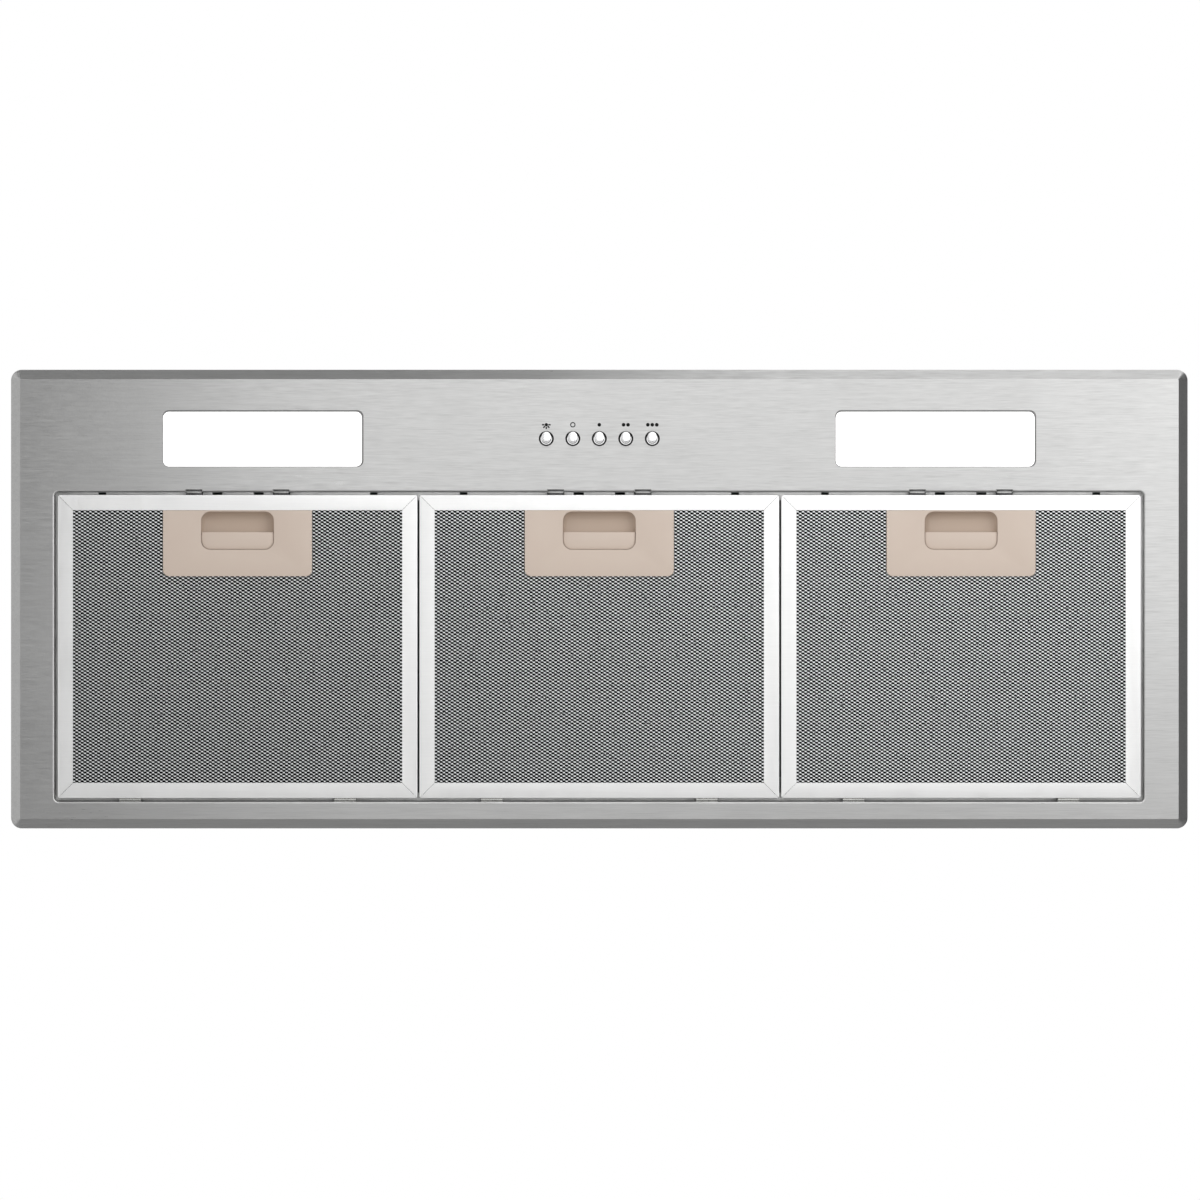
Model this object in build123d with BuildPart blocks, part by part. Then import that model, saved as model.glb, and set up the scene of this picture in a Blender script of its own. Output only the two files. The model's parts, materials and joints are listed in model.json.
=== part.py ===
from build123d import *
import os
from math import sqrt

# Range hood insert, a built-in extractor pushed up into a cut-out and seen from below.
# Millimetres. X runs along the fascia, -Y is the control side, +Z is up into the cupboard.
# The origin is the middle of the mounting plane, the top of the hemmed fascia rim.

os.makedirs("parts", exist_ok=True)

# --- Fascia, folded from one stainless sheet
fascia_length = 767.0
fascia_width = 299.0
fascia_sheet = 0.8
rim_height = 8.0
rim_run = 6.3  # how far the bevelled rim leans in over its height
rim_corner = 7.0
crease_corner = 0.7
hem_width = 8.0
hem_corner = 2.0
opening_corner = 3.0
opening_bend = 1.2  # visible rounding where the sheet turns up into the filter opening
return_flange = 11.0
end_margin = 28.8  # from the ends of the fascia to the filter opening
control_strip = 79.5  # from the front edge to the filter opening
rear_margin = 17.7

# --- Grease filters, three alike
filter_names = ("left", "centre", "right")
filter_depth = 9.0
filter_gap = 1.2
filter_recess = 1.0
end_gap = 1.9
edge_gap = 2.1
frame_sheet = 0.8
rail_width = 10.0
back_rail_width = 8.0
frame_corner = 1.5
frame_round = 0.6
mitre_slit = 0.25
mitre_left = 1.5
mesh_sheet = 0.4
mesh_side_clearance = 0.5
wave_pitch = 14.0

# --- Filter handle and its sliding latch
handle_length = 97.0
handle_reach = 43.0
handle_corner = 4.0
handle_plate = 1.2
handle_edge_round = 0.4
handle_border = 1.8
handle_wall = 1.2
handle_tongue = 1.0
recess_length = 47.5
recess_width = 25.0
recess_corner = 6.0
recess_inset = 0.8
scoop_depth = 6.2
scoop_round = 5.5
slider_face = 11.5
slider_lap = 1.5
slider_sheet = 1.6
slide_gap = 0.3
arm_width = 8.0
nose_width = 10.0
latch_bite = 0.9
latch_travel = 5.0
spring_room = 10.4
spring_sheet = 0.4
spring_width = 3.0
spring_span = 36.0
notch_clearance = 0.5
guide_slot_width = 6.0
guide_slot_offset = 13.5

# --- Rear tabs the filter swings on
tab_width = 14.0
tab_spacing = 140.0
tab_sheet = 0.8
tab_reach = 6.0
tab_leg = 6.0
tab_clearance = 0.2
bead_radius = 0.8
bead_gap = 0.1
tab_slot_side = 0.5
tab_slot_below = 1.0
tab_slot_above = 6.5

# --- Controls and lamps in the strip ahead of the filters
control_inset = 45.0
button_names = ("light", "off", "low", "mid", "high")
button_pitch = 17.25
button_diameter = 9.2
button_clearance = 0.3
button_proud = 4.6
button_crown = 0.9
button_step = 0.5
button_bevel = 0.7
button_travel = 3.5
button_buried = 1.8
button_stem = 5.0
stem_length = 14.0
stem_clearance = 0.2
switch_block_width = 24.0
switch_block_height = 26.0
switch_block_margin = 11.5
ear_length = 12.0
ear_width = 16.0
ear_sheet = 1.5
lamp_inset = 164.5  # from the ends of the fascia to the middle of each lamp
lamp_window_length = 130.9
lamp_window_width = 37.1
lamp_window_corner = 4.2
lens_clearance = 0.4
lens_sheet = 1.2
lens_recess = 0.1
lens_flange = 5.0
lamp_wall = 1.2
lamp_height = 21.0
lamp_fit = 0.5
lamp_rib = 3.0
board_height = 12.0
board_sheet = 1.6
board_width = 30.0
led_count = 8
led_size = 5.0
led_height = 1.2
stud_radius = 2.0
stud_length = 6.0
nut_flats_radius = 4.0
nut_height = 3.2
thread_clearance = 0.05
hole_clearance = 0.3

# --- Sheet-metal housing above the fascia
housing_sheet = 1.0
tray_end_margin = 16.0
tray_side_margin = 12.5
tray_top = 62.0
tray_corner = 4.0
tray_flange = 4.0
rib_length = 150.0
rib_width = 12.0
rib_rise = 3.0
rib_end_inset = 107.5
rib_side_inset = 77.0
side_hole_diameter = 5.0
side_hole_spacing = 180.0
side_hole_height = 12.0
box_length = 300.0
box_side_margin = 12.0
box_height = 160.0
box_flange = 8.0
box_seam = 0.05

# --- Outlet spigot with its pair of non-return flaps
spigot_inset = 70.0  # from the front wall of the box to the middle of the spigot
spigot_diameter = 124.0
spigot_wall = 2.5
spigot_height = 29.0
spigot_base = 136.0
spigot_base_sheet = 3.0
spigot_base_corner = 12.0
spigot_lead = 1.5
flap_height = 12.0  # of the flap hinges over the roof
flap_hinge_offset = 3.0
flap_sheet = 1.5
flap_clearance = 0.9
flap_pin_radius = 1.4
flap_pin_clearance = 0.06
flap_pin_reach = 1.4
flap_pin_end = 0.4
ledge_width = 3.0
ledge_sheet = 3.5
ledge_gap = 0.25
crossbar_width = 2.0
crossbar_height = 12.0

# --- Double-inlet blower
fan_drop = 99.0  # from the top of the box down to the fan's axis
wheel_radius = 70.0
wheel_length = 114.0
wheel_disc = 1.5
wheel_ring = 2.0
wheel_ring_width = 11.5
blade_count = 32
blade_sheet = 0.8
blade_lean = 4.0  # how far the outer edge leads the inner edge
blade_bow = 1.2
blade_margin = 1.0  # from the blade edges to the edges of the end rings
hub_radius = 12.0
hub_left = 8.0
hub_right = 14.0
scroll_length = 130.0
scroll_sheet = 0.8
scroll_start_radius = 84.0
scroll_growth = 12.0  # each quarter turn of the spiral is wider by this
throat_back = 25.0  # from the fan's axis forward to the rear wall of the throat
tongue_round = 4.0
side_sheet = 1.0
side_flange = 10.0
inlet_radius = 56.0
inlet_flare = 4.0
inlet_depth = 5.0
shaft_radius = 4.0
shaft_clearance = 0.08
shaft_end_left = -9.0
shaft_seat = 30.0
shaft_end_gap = 1.0
motor_start = 20.0
motor_length = 68.0
motor_radius = 36.0
motor_end_bevel = 5.0
stator_radius = 38.5
stator_start = 20.0
stator_length = 30.0
motor_boss_radius = 14.0
motor_boss_length = 4.0
bracket_sheet = 2.0
bracket_width = 14.0
bracket_ring = 6.0
bracket_back = 4.0  # from the motor's rear end to the bracket ring
bracket_leg_radius = 68.0
bracket_foot = 12.0
grommet_radius = 6.0
grommet_height = 6.0

# --- Electrics
capacitor_radius = 15.0
capacitor_length = 55.0
capacitor_bevel = 1.5
capacitor_inset_x = 40.0
capacitor_inset_y = 65.0
terminal_inset_x = 35.0
terminal_inset_y = 30.0
terminal_size = 50.0
terminal_height = 38.0
terminal_wall = 2.0
gland_bore = 8.0
gland_thread = 15.6
gland_hex_radius = 11.0
gland_hex_height = 6.0
gland_nut_height = 8.0
gland_dome_radius = 9.0
gland_taper = 12.0
driver_length = 120.0
driver_width = 38.0
driver_height = 23.0
driver_ear = 10.0
driver_end_inset = 97.5
case_corner = 3.0
case_bevel = 1.5

# --- Side spring clips and fasteners
clip_width = 20.0
clip_spacing = 80.0
clip_sheet = 0.8
clip_top = 50.0
clip_seat = 36.0
clip_crest = 22.0
clip_foot = 6.0
clip_bulge = 10.5
clip_toe = 1.5
head_radius = 4.0
head_height = 2.4
box_screw_inset = 25.0
spigot_screw_inset = 8.0
cover_screw_inset = 6.0

# --- Heights and places that follow from the sizes
face_z = -rim_height
back_z = face_z + fascia_sheet
rim_wall = fascia_sheet * sqrt(rim_run**2 + rim_height**2) / rim_height
filter_count = len(filter_names)
opening_length = fascia_length - 2 * end_margin
opening_width = fascia_width - control_strip - rear_margin
opening_y = (control_strip - rear_margin) / 2
opening_front = opening_y - opening_width / 2
opening_rear = opening_y + opening_width / 2
filter_length = (opening_length - 2 * end_gap - (filter_count - 1) * filter_gap) / filter_count
filter_width = opening_width - 2 * edge_gap
filter_pitch = filter_length + filter_gap
filter_places = {
    name: (index - (filter_count - 1) / 2) * filter_pitch for index, name in enumerate(filter_names)
}
filter_face_z = face_z + filter_recess
filter_inner_z = filter_face_z + frame_sheet
filter_back_z = filter_face_z + filter_depth
filter_half = filter_width / 2

rail_edge = -filter_half + rail_width
handle_rear = rail_edge + handle_reach
recess_front = rail_edge + recess_inset
recess_rear = recess_front + recess_width
slider_front = recess_rear - slider_face
slider_rear = recess_rear + slider_lap
cavity_rear = slider_rear + spring_room
housing_front = recess_front - handle_wall
housing_rear = cavity_rear + handle_wall
plate_z = filter_inner_z - handle_plate
cavity_top = filter_inner_z + scoop_depth
slider_z = filter_inner_z + slide_gap
arm_z = filter_inner_z + handle_tongue + slide_gap
arm_top = arm_z + slider_sheet
arm_inner = recess_length / 2 + handle_wall + 1.5 * slide_gap
arm_outer = arm_inner + arm_width
nose_centre = arm_outer - nose_width / 2
nose_tip = -filter_half - edge_gap - latch_bite
nose_rear = housing_front - latch_travel - notch_clearance
mesh_cut_half = handle_length / 2 - handle_border
mesh_cut_rear = handle_rear - handle_border

tab_low = filter_inner_z + tab_clearance
hinge_y = filter_half + bead_gap + bead_radius  # from the middle of the filter
hinge_z = tab_low + tab_sheet / 2

control_y = -fascia_width / 2 + control_inset
button_count = len(button_names)
button_tip = face_z - button_proud
button_seat = back_z + button_buried
button_places = {
    name: (index - (button_count - 1) / 2) * button_pitch for index, name in enumerate(button_names)
}
switch_block_length = (button_count - 1) * button_pitch + 2 * switch_block_margin
lamp_x = fascia_length / 2 - lamp_inset
lamp_places = {"left": -lamp_x, "right": lamp_x}
lamp_length = lamp_window_length + 2 * (lens_flange + lamp_fit + lamp_wall)
lamp_width = lamp_window_width + 2 * (lens_flange / 2 + lamp_fit + lamp_wall)
ear_reach = ear_length / 2
lamp_stud = lamp_length / 2 + ear_reach
switch_stud = switch_block_length / 2 + ear_reach
stud_places = [(sign * switch_stud, control_y) for sign in (-1, 1)]
stud_places += [(x + sign * lamp_stud, control_y) for x in lamp_places.values() for sign in (-1, 1)]

tray_length = fascia_length - 2 * tray_end_margin
tray_width = fascia_width - 2 * tray_side_margin
rib_centre_x = tray_length / 2 - rib_end_inset
rib_centre_y = tray_width / 2 - rib_side_inset
driver_x = tray_length / 2 - driver_end_inset
box_width = tray_width - 2 * box_side_margin
box_top = tray_top + box_height
roof_under = box_top - housing_sheet
spigot_y = spigot_inset - box_width / 2
spigot_radius = spigot_diameter / 2
spigot_bore = spigot_radius - spigot_wall
flap_z = box_top + flap_height
flap_radius = spigot_bore - flap_clearance
fan_y = 1.5 * scroll_growth  # puts the middle of the spiral over the middle of the box
fan_z = box_top - fan_drop
motor_end = motor_start + motor_length
side_outer = scroll_length / 2 + side_sheet
terminal_low = roof_under - terminal_height
terminal_x = box_length / 2 - terminal_inset_x
terminal_y = box_width / 2 - terminal_inset_y
capacitor_x = capacitor_inset_x - box_length / 2
capacitor_y = box_width / 2 - capacitor_inset_y


def save(piece, label):
    """Label a finished piece and write it under that name."""
    piece.part.label = label
    export_step(piece.part, f"parts/{label}.step")


def rim_outline(above_face, inset=0.0):
    """Length, width and corner of the leaning rim at a height over the face."""
    share = above_face / rim_height
    shrink = 2 * (rim_run * (1 - share) + inset)
    corner = crease_corner + (rim_corner - crease_corner) * share - inset
    return fascia_length - shrink, fascia_width - shrink, max(corner, crease_corner / 2)


# Fascia panel: bevelled rim with a hem, turned-up filter opening, lamp windows and button holes.
with BuildPart() as fascia_panel:
    for above in (0.0, rim_height):
        with BuildSketch(Plane.XY.offset(face_z + above)):
            RectangleRounded(*rim_outline(above))
    loft(ruled=True)
    for above in (fascia_sheet, rim_height - fascia_sheet):
        with BuildSketch(Plane.XY.offset(face_z + above)):
            RectangleRounded(*rim_outline(above, rim_wall))
    loft(ruled=True, mode=Mode.SUBTRACT)
    with BuildSketch(Plane.XY):
        RectangleRounded(fascia_length - 2 * hem_width, fascia_width - 2 * hem_width, hem_corner)
    extrude(amount=-rim_height / 2, mode=Mode.SUBTRACT)
    with BuildSketch(Plane.XY.offset(face_z)):
        with Locations((0, opening_y)):
            RectangleRounded(
                opening_length + 2 * fascia_sheet,
                opening_width + 2 * fascia_sheet,
                opening_corner + fascia_sheet,
            )
    extrude(amount=return_flange)
    with BuildSketch(Plane.XY.offset(face_z)):
        with Locations((0, opening_y)):
            RectangleRounded(opening_length, opening_width, opening_corner)
    extrude(amount=return_flange, mode=Mode.SUBTRACT)
    fillet(fascia_panel.faces().sort_by(Axis.Z)[0].inner_wires()[0].edges(), opening_bend)
    with BuildSketch(Plane.XY.offset(face_z)):
        with Locations(*[(x, control_y) for x in lamp_places.values()]):
            RectangleRounded(lamp_window_length, lamp_window_width, lamp_window_corner)
        with Locations(*[(x, control_y) for x in button_places.values()]):
            Circle(button_diameter / 2 + button_clearance)
    extrude(amount=fascia_sheet, mode=Mode.SUBTRACT)
    # Notches in the front return flange that the latch noses bite into, open towards the face.
    notch_width = nose_width + 2 * notch_clearance
    notch_depth = latch_bite + notch_clearance
    with BuildSketch(Plane.XY.offset(face_z)):
        for x in filter_places.values():
            with Locations(*[(x + sign * nose_centre, opening_front) for sign in (-1, 1)]):
                Rectangle(notch_width, 2 * notch_depth)
    extrude(amount=arm_top + notch_clearance - face_z, mode=Mode.SUBTRACT)
    with BuildSketch(Plane.XY.offset(arm_z)):
        for x in filter_places.values():
            with Locations(*[(x + sign * guide_slot_offset, opening_front) for sign in (-1, 1)]):
                Rectangle(guide_slot_width, 3 * fascia_sheet)
    extrude(amount=slider_sheet, mode=Mode.SUBTRACT)
    # Slots in the rear return flange for the filters' hinge tabs.
    with BuildSketch(Plane.XY.offset(hinge_z - tab_slot_below)):
        for x in filter_places.values():
            with Locations(*[(x + sign * tab_spacing / 2, opening_rear) for sign in (-1, 1)]):
                Rectangle(tab_width + 2 * tab_slot_side, 3 * fascia_sheet)
    extrude(amount=tab_slot_below + tab_slot_above, mode=Mode.SUBTRACT)
    with BuildSketch(Plane.XY.offset(back_z)):
        with Locations(*stud_places):
            Circle(stud_radius)
    extrude(amount=stud_length)
save(fascia_panel, "fascia_panel")


# Housing tray: deep-drawn box over the fascia, open below, with the blower opening in its roof.
with BuildPart() as housing_tray:
    with BuildSketch(Plane.XY.offset(back_z)):
        RectangleRounded(tray_length, tray_width, tray_corner)
    extrude(amount=tray_top - back_z)
    with BuildSketch(Plane.XY.offset(tray_top)):
        with GridLocations(2 * rib_centre_x, 2 * rib_centre_y, 2, 2):
            SlotOverall(rib_length, rib_width)
    extrude(amount=rib_rise)
    with BuildSketch(Plane.XY.offset(back_z)):
        RectangleRounded(
            tray_length + 2 * tray_flange, tray_width + 2 * tray_flange, tray_corner + tray_flange
        )
    extrude(amount=housing_sheet)
    with BuildSketch(Plane.XY.offset(back_z)):
        RectangleRounded(
            tray_length - 2 * housing_sheet,
            tray_width - 2 * housing_sheet,
            tray_corner - housing_sheet,
        )
    extrude(amount=tray_top - housing_sheet - back_z, mode=Mode.SUBTRACT)
    with BuildSketch(Plane.XY.offset(tray_top - housing_sheet)):
        with GridLocations(2 * rib_centre_x, 2 * rib_centre_y, 2, 2):
            SlotOverall(rib_length - 2 * housing_sheet, rib_width - 2 * housing_sheet)
    extrude(amount=rib_rise, mode=Mode.SUBTRACT)
    with BuildSketch(Plane.XY.offset(tray_top - housing_sheet)):
        Rectangle(box_length - 2 * box_flange, box_width - 2 * box_flange)
    extrude(amount=housing_sheet, mode=Mode.SUBTRACT)
    with BuildSketch(Plane.YZ):
        with Locations(*[(sign * side_hole_spacing / 2, side_hole_height) for sign in (-1, 1)]):
            Circle(side_hole_diameter / 2)
    extrude(amount=tray_length / 2, both=True, mode=Mode.SUBTRACT)
save(housing_tray, "housing_tray")


# Blower box on the tray roof: four walls with outward flanges and a roof, spot-welded at hairline seams.
wall_height = box_height - housing_sheet - box_seam
end_wall = box_width - 2 * (housing_sheet + box_seam)
with BuildPart() as blower_box:
    with BuildSketch(Plane.XY.offset(tray_top)):
        with GridLocations(1, box_width - housing_sheet, 1, 2):
            Rectangle(box_length, housing_sheet)
        with GridLocations(box_length - housing_sheet, 1, 2, 1):
            Rectangle(housing_sheet, end_wall)
    extrude(amount=wall_height)
    with BuildSketch(Plane.XY.offset(tray_top)):
        with GridLocations(1, box_width + box_flange, 1, 2):
            Rectangle(box_length, box_flange)
        with GridLocations(box_length + box_flange, 1, 2, 1):
            Rectangle(box_flange, end_wall)
    extrude(amount=housing_sheet)
    with BuildSketch(Plane.XY.offset(roof_under)):
        Rectangle(box_length, box_width)
        with Locations((0, spigot_y)):
            Circle(spigot_bore, mode=Mode.SUBTRACT)
        with Locations((terminal_x, terminal_y)):
            Circle(gland_thread / 2 + hole_clearance, mode=Mode.SUBTRACT)
    extrude(amount=housing_sheet)
save(blower_box, "blower_box")


# Outlet spigot: round duct collar on a square base, with a stop ledge and a crossbar for the flaps.
with BuildPart() as outlet_spigot:
    with BuildSketch(Plane.XY.offset(box_top)):
        with Locations((0, spigot_y)):
            RectangleRounded(spigot_base, spigot_base, spigot_base_corner)
    extrude(amount=spigot_base_sheet)
    with BuildSketch(Plane.XY.offset(box_top)):
        with Locations((0, spigot_y)):
            Circle(spigot_radius)
    extrude(amount=spigot_base_sheet + spigot_height)
    chamfer(outlet_spigot.faces().sort_by(Axis.Z)[-1].outer_wire().edges(), spigot_lead)
    with BuildSketch(Plane.XY.offset(box_top)):
        with Locations((0, spigot_y)):
            Circle(spigot_bore)
    extrude(amount=spigot_base_sheet + spigot_height, mode=Mode.SUBTRACT)
    ledge_top = flap_z - flap_sheet / 2 - ledge_gap
    with BuildSketch(Plane.XY.offset(ledge_top)):
        with Locations((0, spigot_y)):
            Circle(spigot_bore)
            Circle(spigot_bore - ledge_width, mode=Mode.SUBTRACT)
            Rectangle(spigot_diameter, 4 * flap_hinge_offset, mode=Mode.SUBTRACT)
    extrude(amount=-ledge_sheet)
    with BuildSketch(Plane.YZ):
        for sign in (-1, 1):
            with Locations((spigot_y + sign * flap_hinge_offset, flap_z)):
                Circle(flap_pin_radius + flap_pin_clearance)
    extrude(amount=spigot_bore + flap_pin_reach + flap_pin_end, both=True, mode=Mode.SUBTRACT)
    with BuildSketch(Plane.XY.offset(flap_z - crossbar_height / 2)):
        with Locations((0, spigot_y)):
            Rectangle(2 * spigot_bore + spigot_wall, crossbar_width)
    extrude(amount=crossbar_height)
save(outlet_spigot, "outlet_spigot")


def half_flap(side):
    """Half-round flap on the front (-1) or rear (+1) of the spigot, with pins along its hinge."""
    with BuildPart() as flap:
        with BuildSketch(Plane.XY.offset(flap_z - flap_sheet / 2)):
            with Locations((0, spigot_y)):
                Circle(flap_radius)
            with Locations((0, spigot_y + side * (flap_hinge_offset + flap_radius))):
                Rectangle(2 * flap_radius, 2 * flap_radius, mode=Mode.INTERSECT)
        extrude(amount=flap_sheet)
        with BuildSketch(Plane.YZ):
            with Locations((spigot_y + side * flap_hinge_offset, flap_z)):
                Circle(flap_pin_radius)
        extrude(amount=spigot_bore + flap_pin_reach, both=True)
    return flap


save(half_flap(-1), "flap_front")
save(half_flap(1), "flap_rear")


def scroll_outline(grow):
    """Closed spiral of three quarter arcs that runs up into the throat, in the Y-Z plane."""
    start = scroll_start_radius + grow
    second = start + scroll_growth
    third = second + scroll_growth
    throat_y = fan_y - throat_back + grow
    front_y = fan_y - scroll_growth - third
    lift = sqrt(start**2 - (throat_y - fan_y) ** 2)
    half = sqrt(0.5)
    tongue = (throat_y, fan_z + lift)
    over = (fan_y, fan_z + start)
    rear = (fan_y + start, fan_z)
    low = (fan_y - scroll_growth, fan_z - second)
    low_mid = (fan_y - scroll_growth + second * half, fan_z - second * half)
    front = (front_y, fan_z + scroll_growth)
    front_mid = (fan_y - scroll_growth - third * half, fan_z + scroll_growth - third * half)
    Line((throat_y, roof_under), tongue)
    ThreePointArc(tongue, over, rear)
    ThreePointArc(rear, low_mid, low)
    ThreePointArc(low, front_mid, front)
    Polyline(front, (front_y, roof_under), (throat_y, roof_under))
    return tongue


# Blower scroll: the wrap sheet follows the spiral and turns up at a rounded tongue.
with BuildPart() as scroll_wrap:
    with BuildSketch(Plane.YZ.offset(-scroll_length / 2)) as wrap_section:
        with BuildLine():
            outer_tongue = scroll_outline(scroll_sheet)
        make_face()
        with BuildLine():
            inner_tongue = scroll_outline(0.0)
        make_face(mode=Mode.SUBTRACT)
        fillet(wrap_section.vertices().sort_by_distance(inner_tongue)[0], tongue_round + scroll_sheet)
        fillet(wrap_section.vertices().sort_by_distance(outer_tongue)[0], tongue_round)
    extrude(amount=scroll_length)
save(scroll_wrap, "scroll_wrap")


def scroll_side(side):
    """End plate of the scroll with a flared inlet and a flange against the roof."""
    inner_x = side * scroll_length / 2
    outer_x = side * side_outer
    flange_length = scroll_start_radius + 2 * scroll_growth
    flange_y = fan_y - scroll_growth - scroll_start_radius - 2 * scroll_growth + flange_length / 2
    with BuildPart() as plate:
        with BuildSketch(Plane.YZ.offset(inner_x)):
            with BuildLine():
                scroll_outline(scroll_sheet)
            make_face()
        extrude(amount=side * side_sheet)
        with BuildSketch(Plane.XY.offset(roof_under)):
            with Locations((outer_x + side * side_flange / 2, flange_y)):
                Rectangle(side_flange, flange_length)
        extrude(amount=-side_sheet)
        for x, radius in ((outer_x, inlet_flare), (inner_x - side * inlet_depth, 0.0)):
            with BuildSketch(Plane.YZ.offset(x)):
                with Locations((fan_y, fan_z)):
                    Circle(inlet_radius + radius + side_sheet)
        loft(ruled=True)
        for x, radius in ((outer_x, inlet_flare), (inner_x - side * inlet_depth, 0.0)):
            with BuildSketch(Plane.YZ.offset(x)):
                with Locations((fan_y, fan_z)):
                    Circle(inlet_radius + radius)
        loft(ruled=True, mode=Mode.SUBTRACT)
    return plate


save(scroll_side(-1), "scroll_side_left")
save(scroll_side(1), "scroll_side_right")


# One blade section of the fan wheel, curved forward towards its outer edge.
ring_inner = wheel_radius - wheel_ring_width
blade_inner = ring_inner + blade_margin
blade_outer = wheel_radius - blade_margin
blade_middle = (blade_inner + blade_outer) / 2
with BuildSketch() as blade:
    with BuildLine():
        ThreePointArc(
            (blade_inner, blade_lean / 2), (blade_middle + blade_bow, blade_bow), (blade_outer, -blade_lean)
        )
        offset(amount=blade_sheet, side=Side.LEFT)
    make_face()


# Fan wheel: the blades run through a centre disc and are closed by a ring at each inlet.
with BuildPart() as fan_wheel:
    with BuildSketch(Plane.YZ.offset(-wheel_length / 2)):
        with Locations((fan_y, fan_z)):
            with PolarLocations(0, blade_count):
                add(blade.sketch)
    extrude(amount=wheel_length)
    with BuildSketch(Plane.YZ.offset(-wheel_disc / 2)):
        with Locations((fan_y, fan_z)):
            Circle(wheel_radius)
    extrude(amount=wheel_disc)
    for x in (-wheel_length / 2, wheel_length / 2 - wheel_ring):
        with BuildSketch(Plane.YZ.offset(x)):
            with Locations((fan_y, fan_z)):
                Circle(wheel_radius)
                Circle(ring_inner, mode=Mode.SUBTRACT)
        extrude(amount=wheel_ring)
    with BuildSketch(Plane.YZ.offset(-hub_left)):
        with Locations((fan_y, fan_z)):
            Circle(hub_radius)
    extrude(amount=hub_left + hub_right)
    with BuildSketch(Plane.YZ.offset(-hub_left)):
        with Locations((fan_y, fan_z)):
            Circle(shaft_radius)
    extrude(amount=hub_left + hub_right, mode=Mode.SUBTRACT)
save(fan_wheel, "fan_wheel")


# Motor shaft, pressed into the hub and running in the motor.
with BuildPart() as motor_shaft:
    with BuildSketch(Plane.YZ.offset(shaft_end_left)):
        with Locations((fan_y, fan_z)):
            Circle(shaft_radius)
    extrude(amount=motor_start + shaft_seat - shaft_end_left)
save(motor_shaft, "motor_shaft")


# Motor: drawn can with a laminated stator band and a bearing boss at each end.
with BuildPart() as motor_body:
    with BuildSketch(Plane.YZ.offset(motor_start)):
        with Locations((fan_y, fan_z)):
            Circle(motor_radius)
    extrude(amount=motor_length)
    chamfer(motor_body.edges().filter_by(GeomType.CIRCLE), motor_end_bevel)
    with BuildSketch(Plane.YZ.offset(motor_start + stator_start)):
        with Locations((fan_y, fan_z)):
            Circle(stator_radius)
    extrude(amount=stator_length)
    with BuildSketch(Plane.YZ.offset(motor_start - motor_boss_length)):
        with Locations((fan_y, fan_z)):
            Circle(motor_boss_radius)
    extrude(amount=motor_length + 2 * motor_boss_length)
    with BuildSketch(Plane.YZ.offset(motor_start - motor_boss_length)):
        with Locations((fan_y, fan_z)):
            Circle(shaft_radius + shaft_clearance)
    extrude(amount=motor_boss_length + shaft_seat + shaft_end_gap, mode=Mode.SUBTRACT)
save(motor_body, "motor_body")


# Three-armed bracket that carries the motor off the right scroll side, on rubber grommets.
ring_x = motor_end - bracket_back - bracket_ring
foot_x = side_outer + grommet_height
foot_radius = bracket_leg_radius + bracket_foot / 2
with BuildPart() as motor_bracket:
    with BuildSketch(Plane.YZ.offset(ring_x)):
        with Locations((fan_y, fan_z)):
            Circle(motor_radius + thread_clearance + bracket_sheet)
            Circle(motor_radius + thread_clearance, mode=Mode.SUBTRACT)
    extrude(amount=bracket_ring)
    arm_start = motor_radius + bracket_sheet / 2
    arm_middle = (arm_start + bracket_leg_radius) / 2
    with BuildSketch(Plane.YZ.offset(ring_x + bracket_ring - bracket_sheet)):
        with Locations((fan_y, fan_z)):
            with PolarLocations(arm_middle, 3, start_angle=90):
                Rectangle(bracket_leg_radius - arm_start, bracket_width)
    extrude(amount=bracket_sheet)
    with BuildSketch(Plane.YZ.offset(foot_x)):
        with Locations((fan_y, fan_z)):
            with PolarLocations(bracket_leg_radius - bracket_sheet / 2, 3, start_angle=90):
                Rectangle(bracket_sheet, bracket_width)
    extrude(amount=ring_x + bracket_ring - foot_x)
    with BuildSketch(Plane.YZ.offset(foot_x)):
        with Locations((fan_y, fan_z)):
            with PolarLocations(foot_radius - bracket_sheet, 3, start_angle=90):
                Rectangle(bracket_foot + bracket_sheet, bracket_width)
    extrude(amount=bracket_sheet)
save(motor_bracket, "motor_bracket")


with BuildPart() as motor_grommets:
    with BuildSketch(Plane.YZ.offset(side_outer)):
        with Locations((fan_y, fan_z)):
            with PolarLocations(foot_radius, 3, start_angle=90):
                Circle(grommet_radius)
    extrude(amount=grommet_height)
save(motor_grommets, "motor_grommets")


# Run capacitor hanging from the roof by its base.
with BuildPart() as capacitor:
    with BuildSketch(Plane.XY.offset(roof_under)):
        with Locations((capacitor_x, capacitor_y)):
            Circle(capacitor_radius)
    extrude(amount=-capacitor_length)
    chamfer(capacitor.edges().sort_by(Axis.Z)[0], capacitor_bevel)
save(capacitor, "capacitor")


# Terminal box under the roof, closed from below by its cover.
with BuildPart() as terminal_box:
    with BuildSketch(Plane.XY.offset(terminal_low)):
        with Locations((terminal_x, terminal_y)):
            RectangleRounded(terminal_size, terminal_size, terminal_wall)
    extrude(amount=terminal_height)
    with BuildSketch(Plane.XY.offset(terminal_low)):
        with Locations((terminal_x, terminal_y)):
            Rectangle(terminal_size - 2 * terminal_wall, terminal_size - 2 * terminal_wall)
    extrude(amount=terminal_height - terminal_wall, mode=Mode.SUBTRACT)
    with BuildSketch(Plane.XY.offset(terminal_low)):
        with Locations((terminal_x, terminal_y)):
            Circle(gland_thread / 2 + hole_clearance)
    extrude(amount=terminal_height, mode=Mode.SUBTRACT)
save(terminal_box, "terminal_box")

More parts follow.
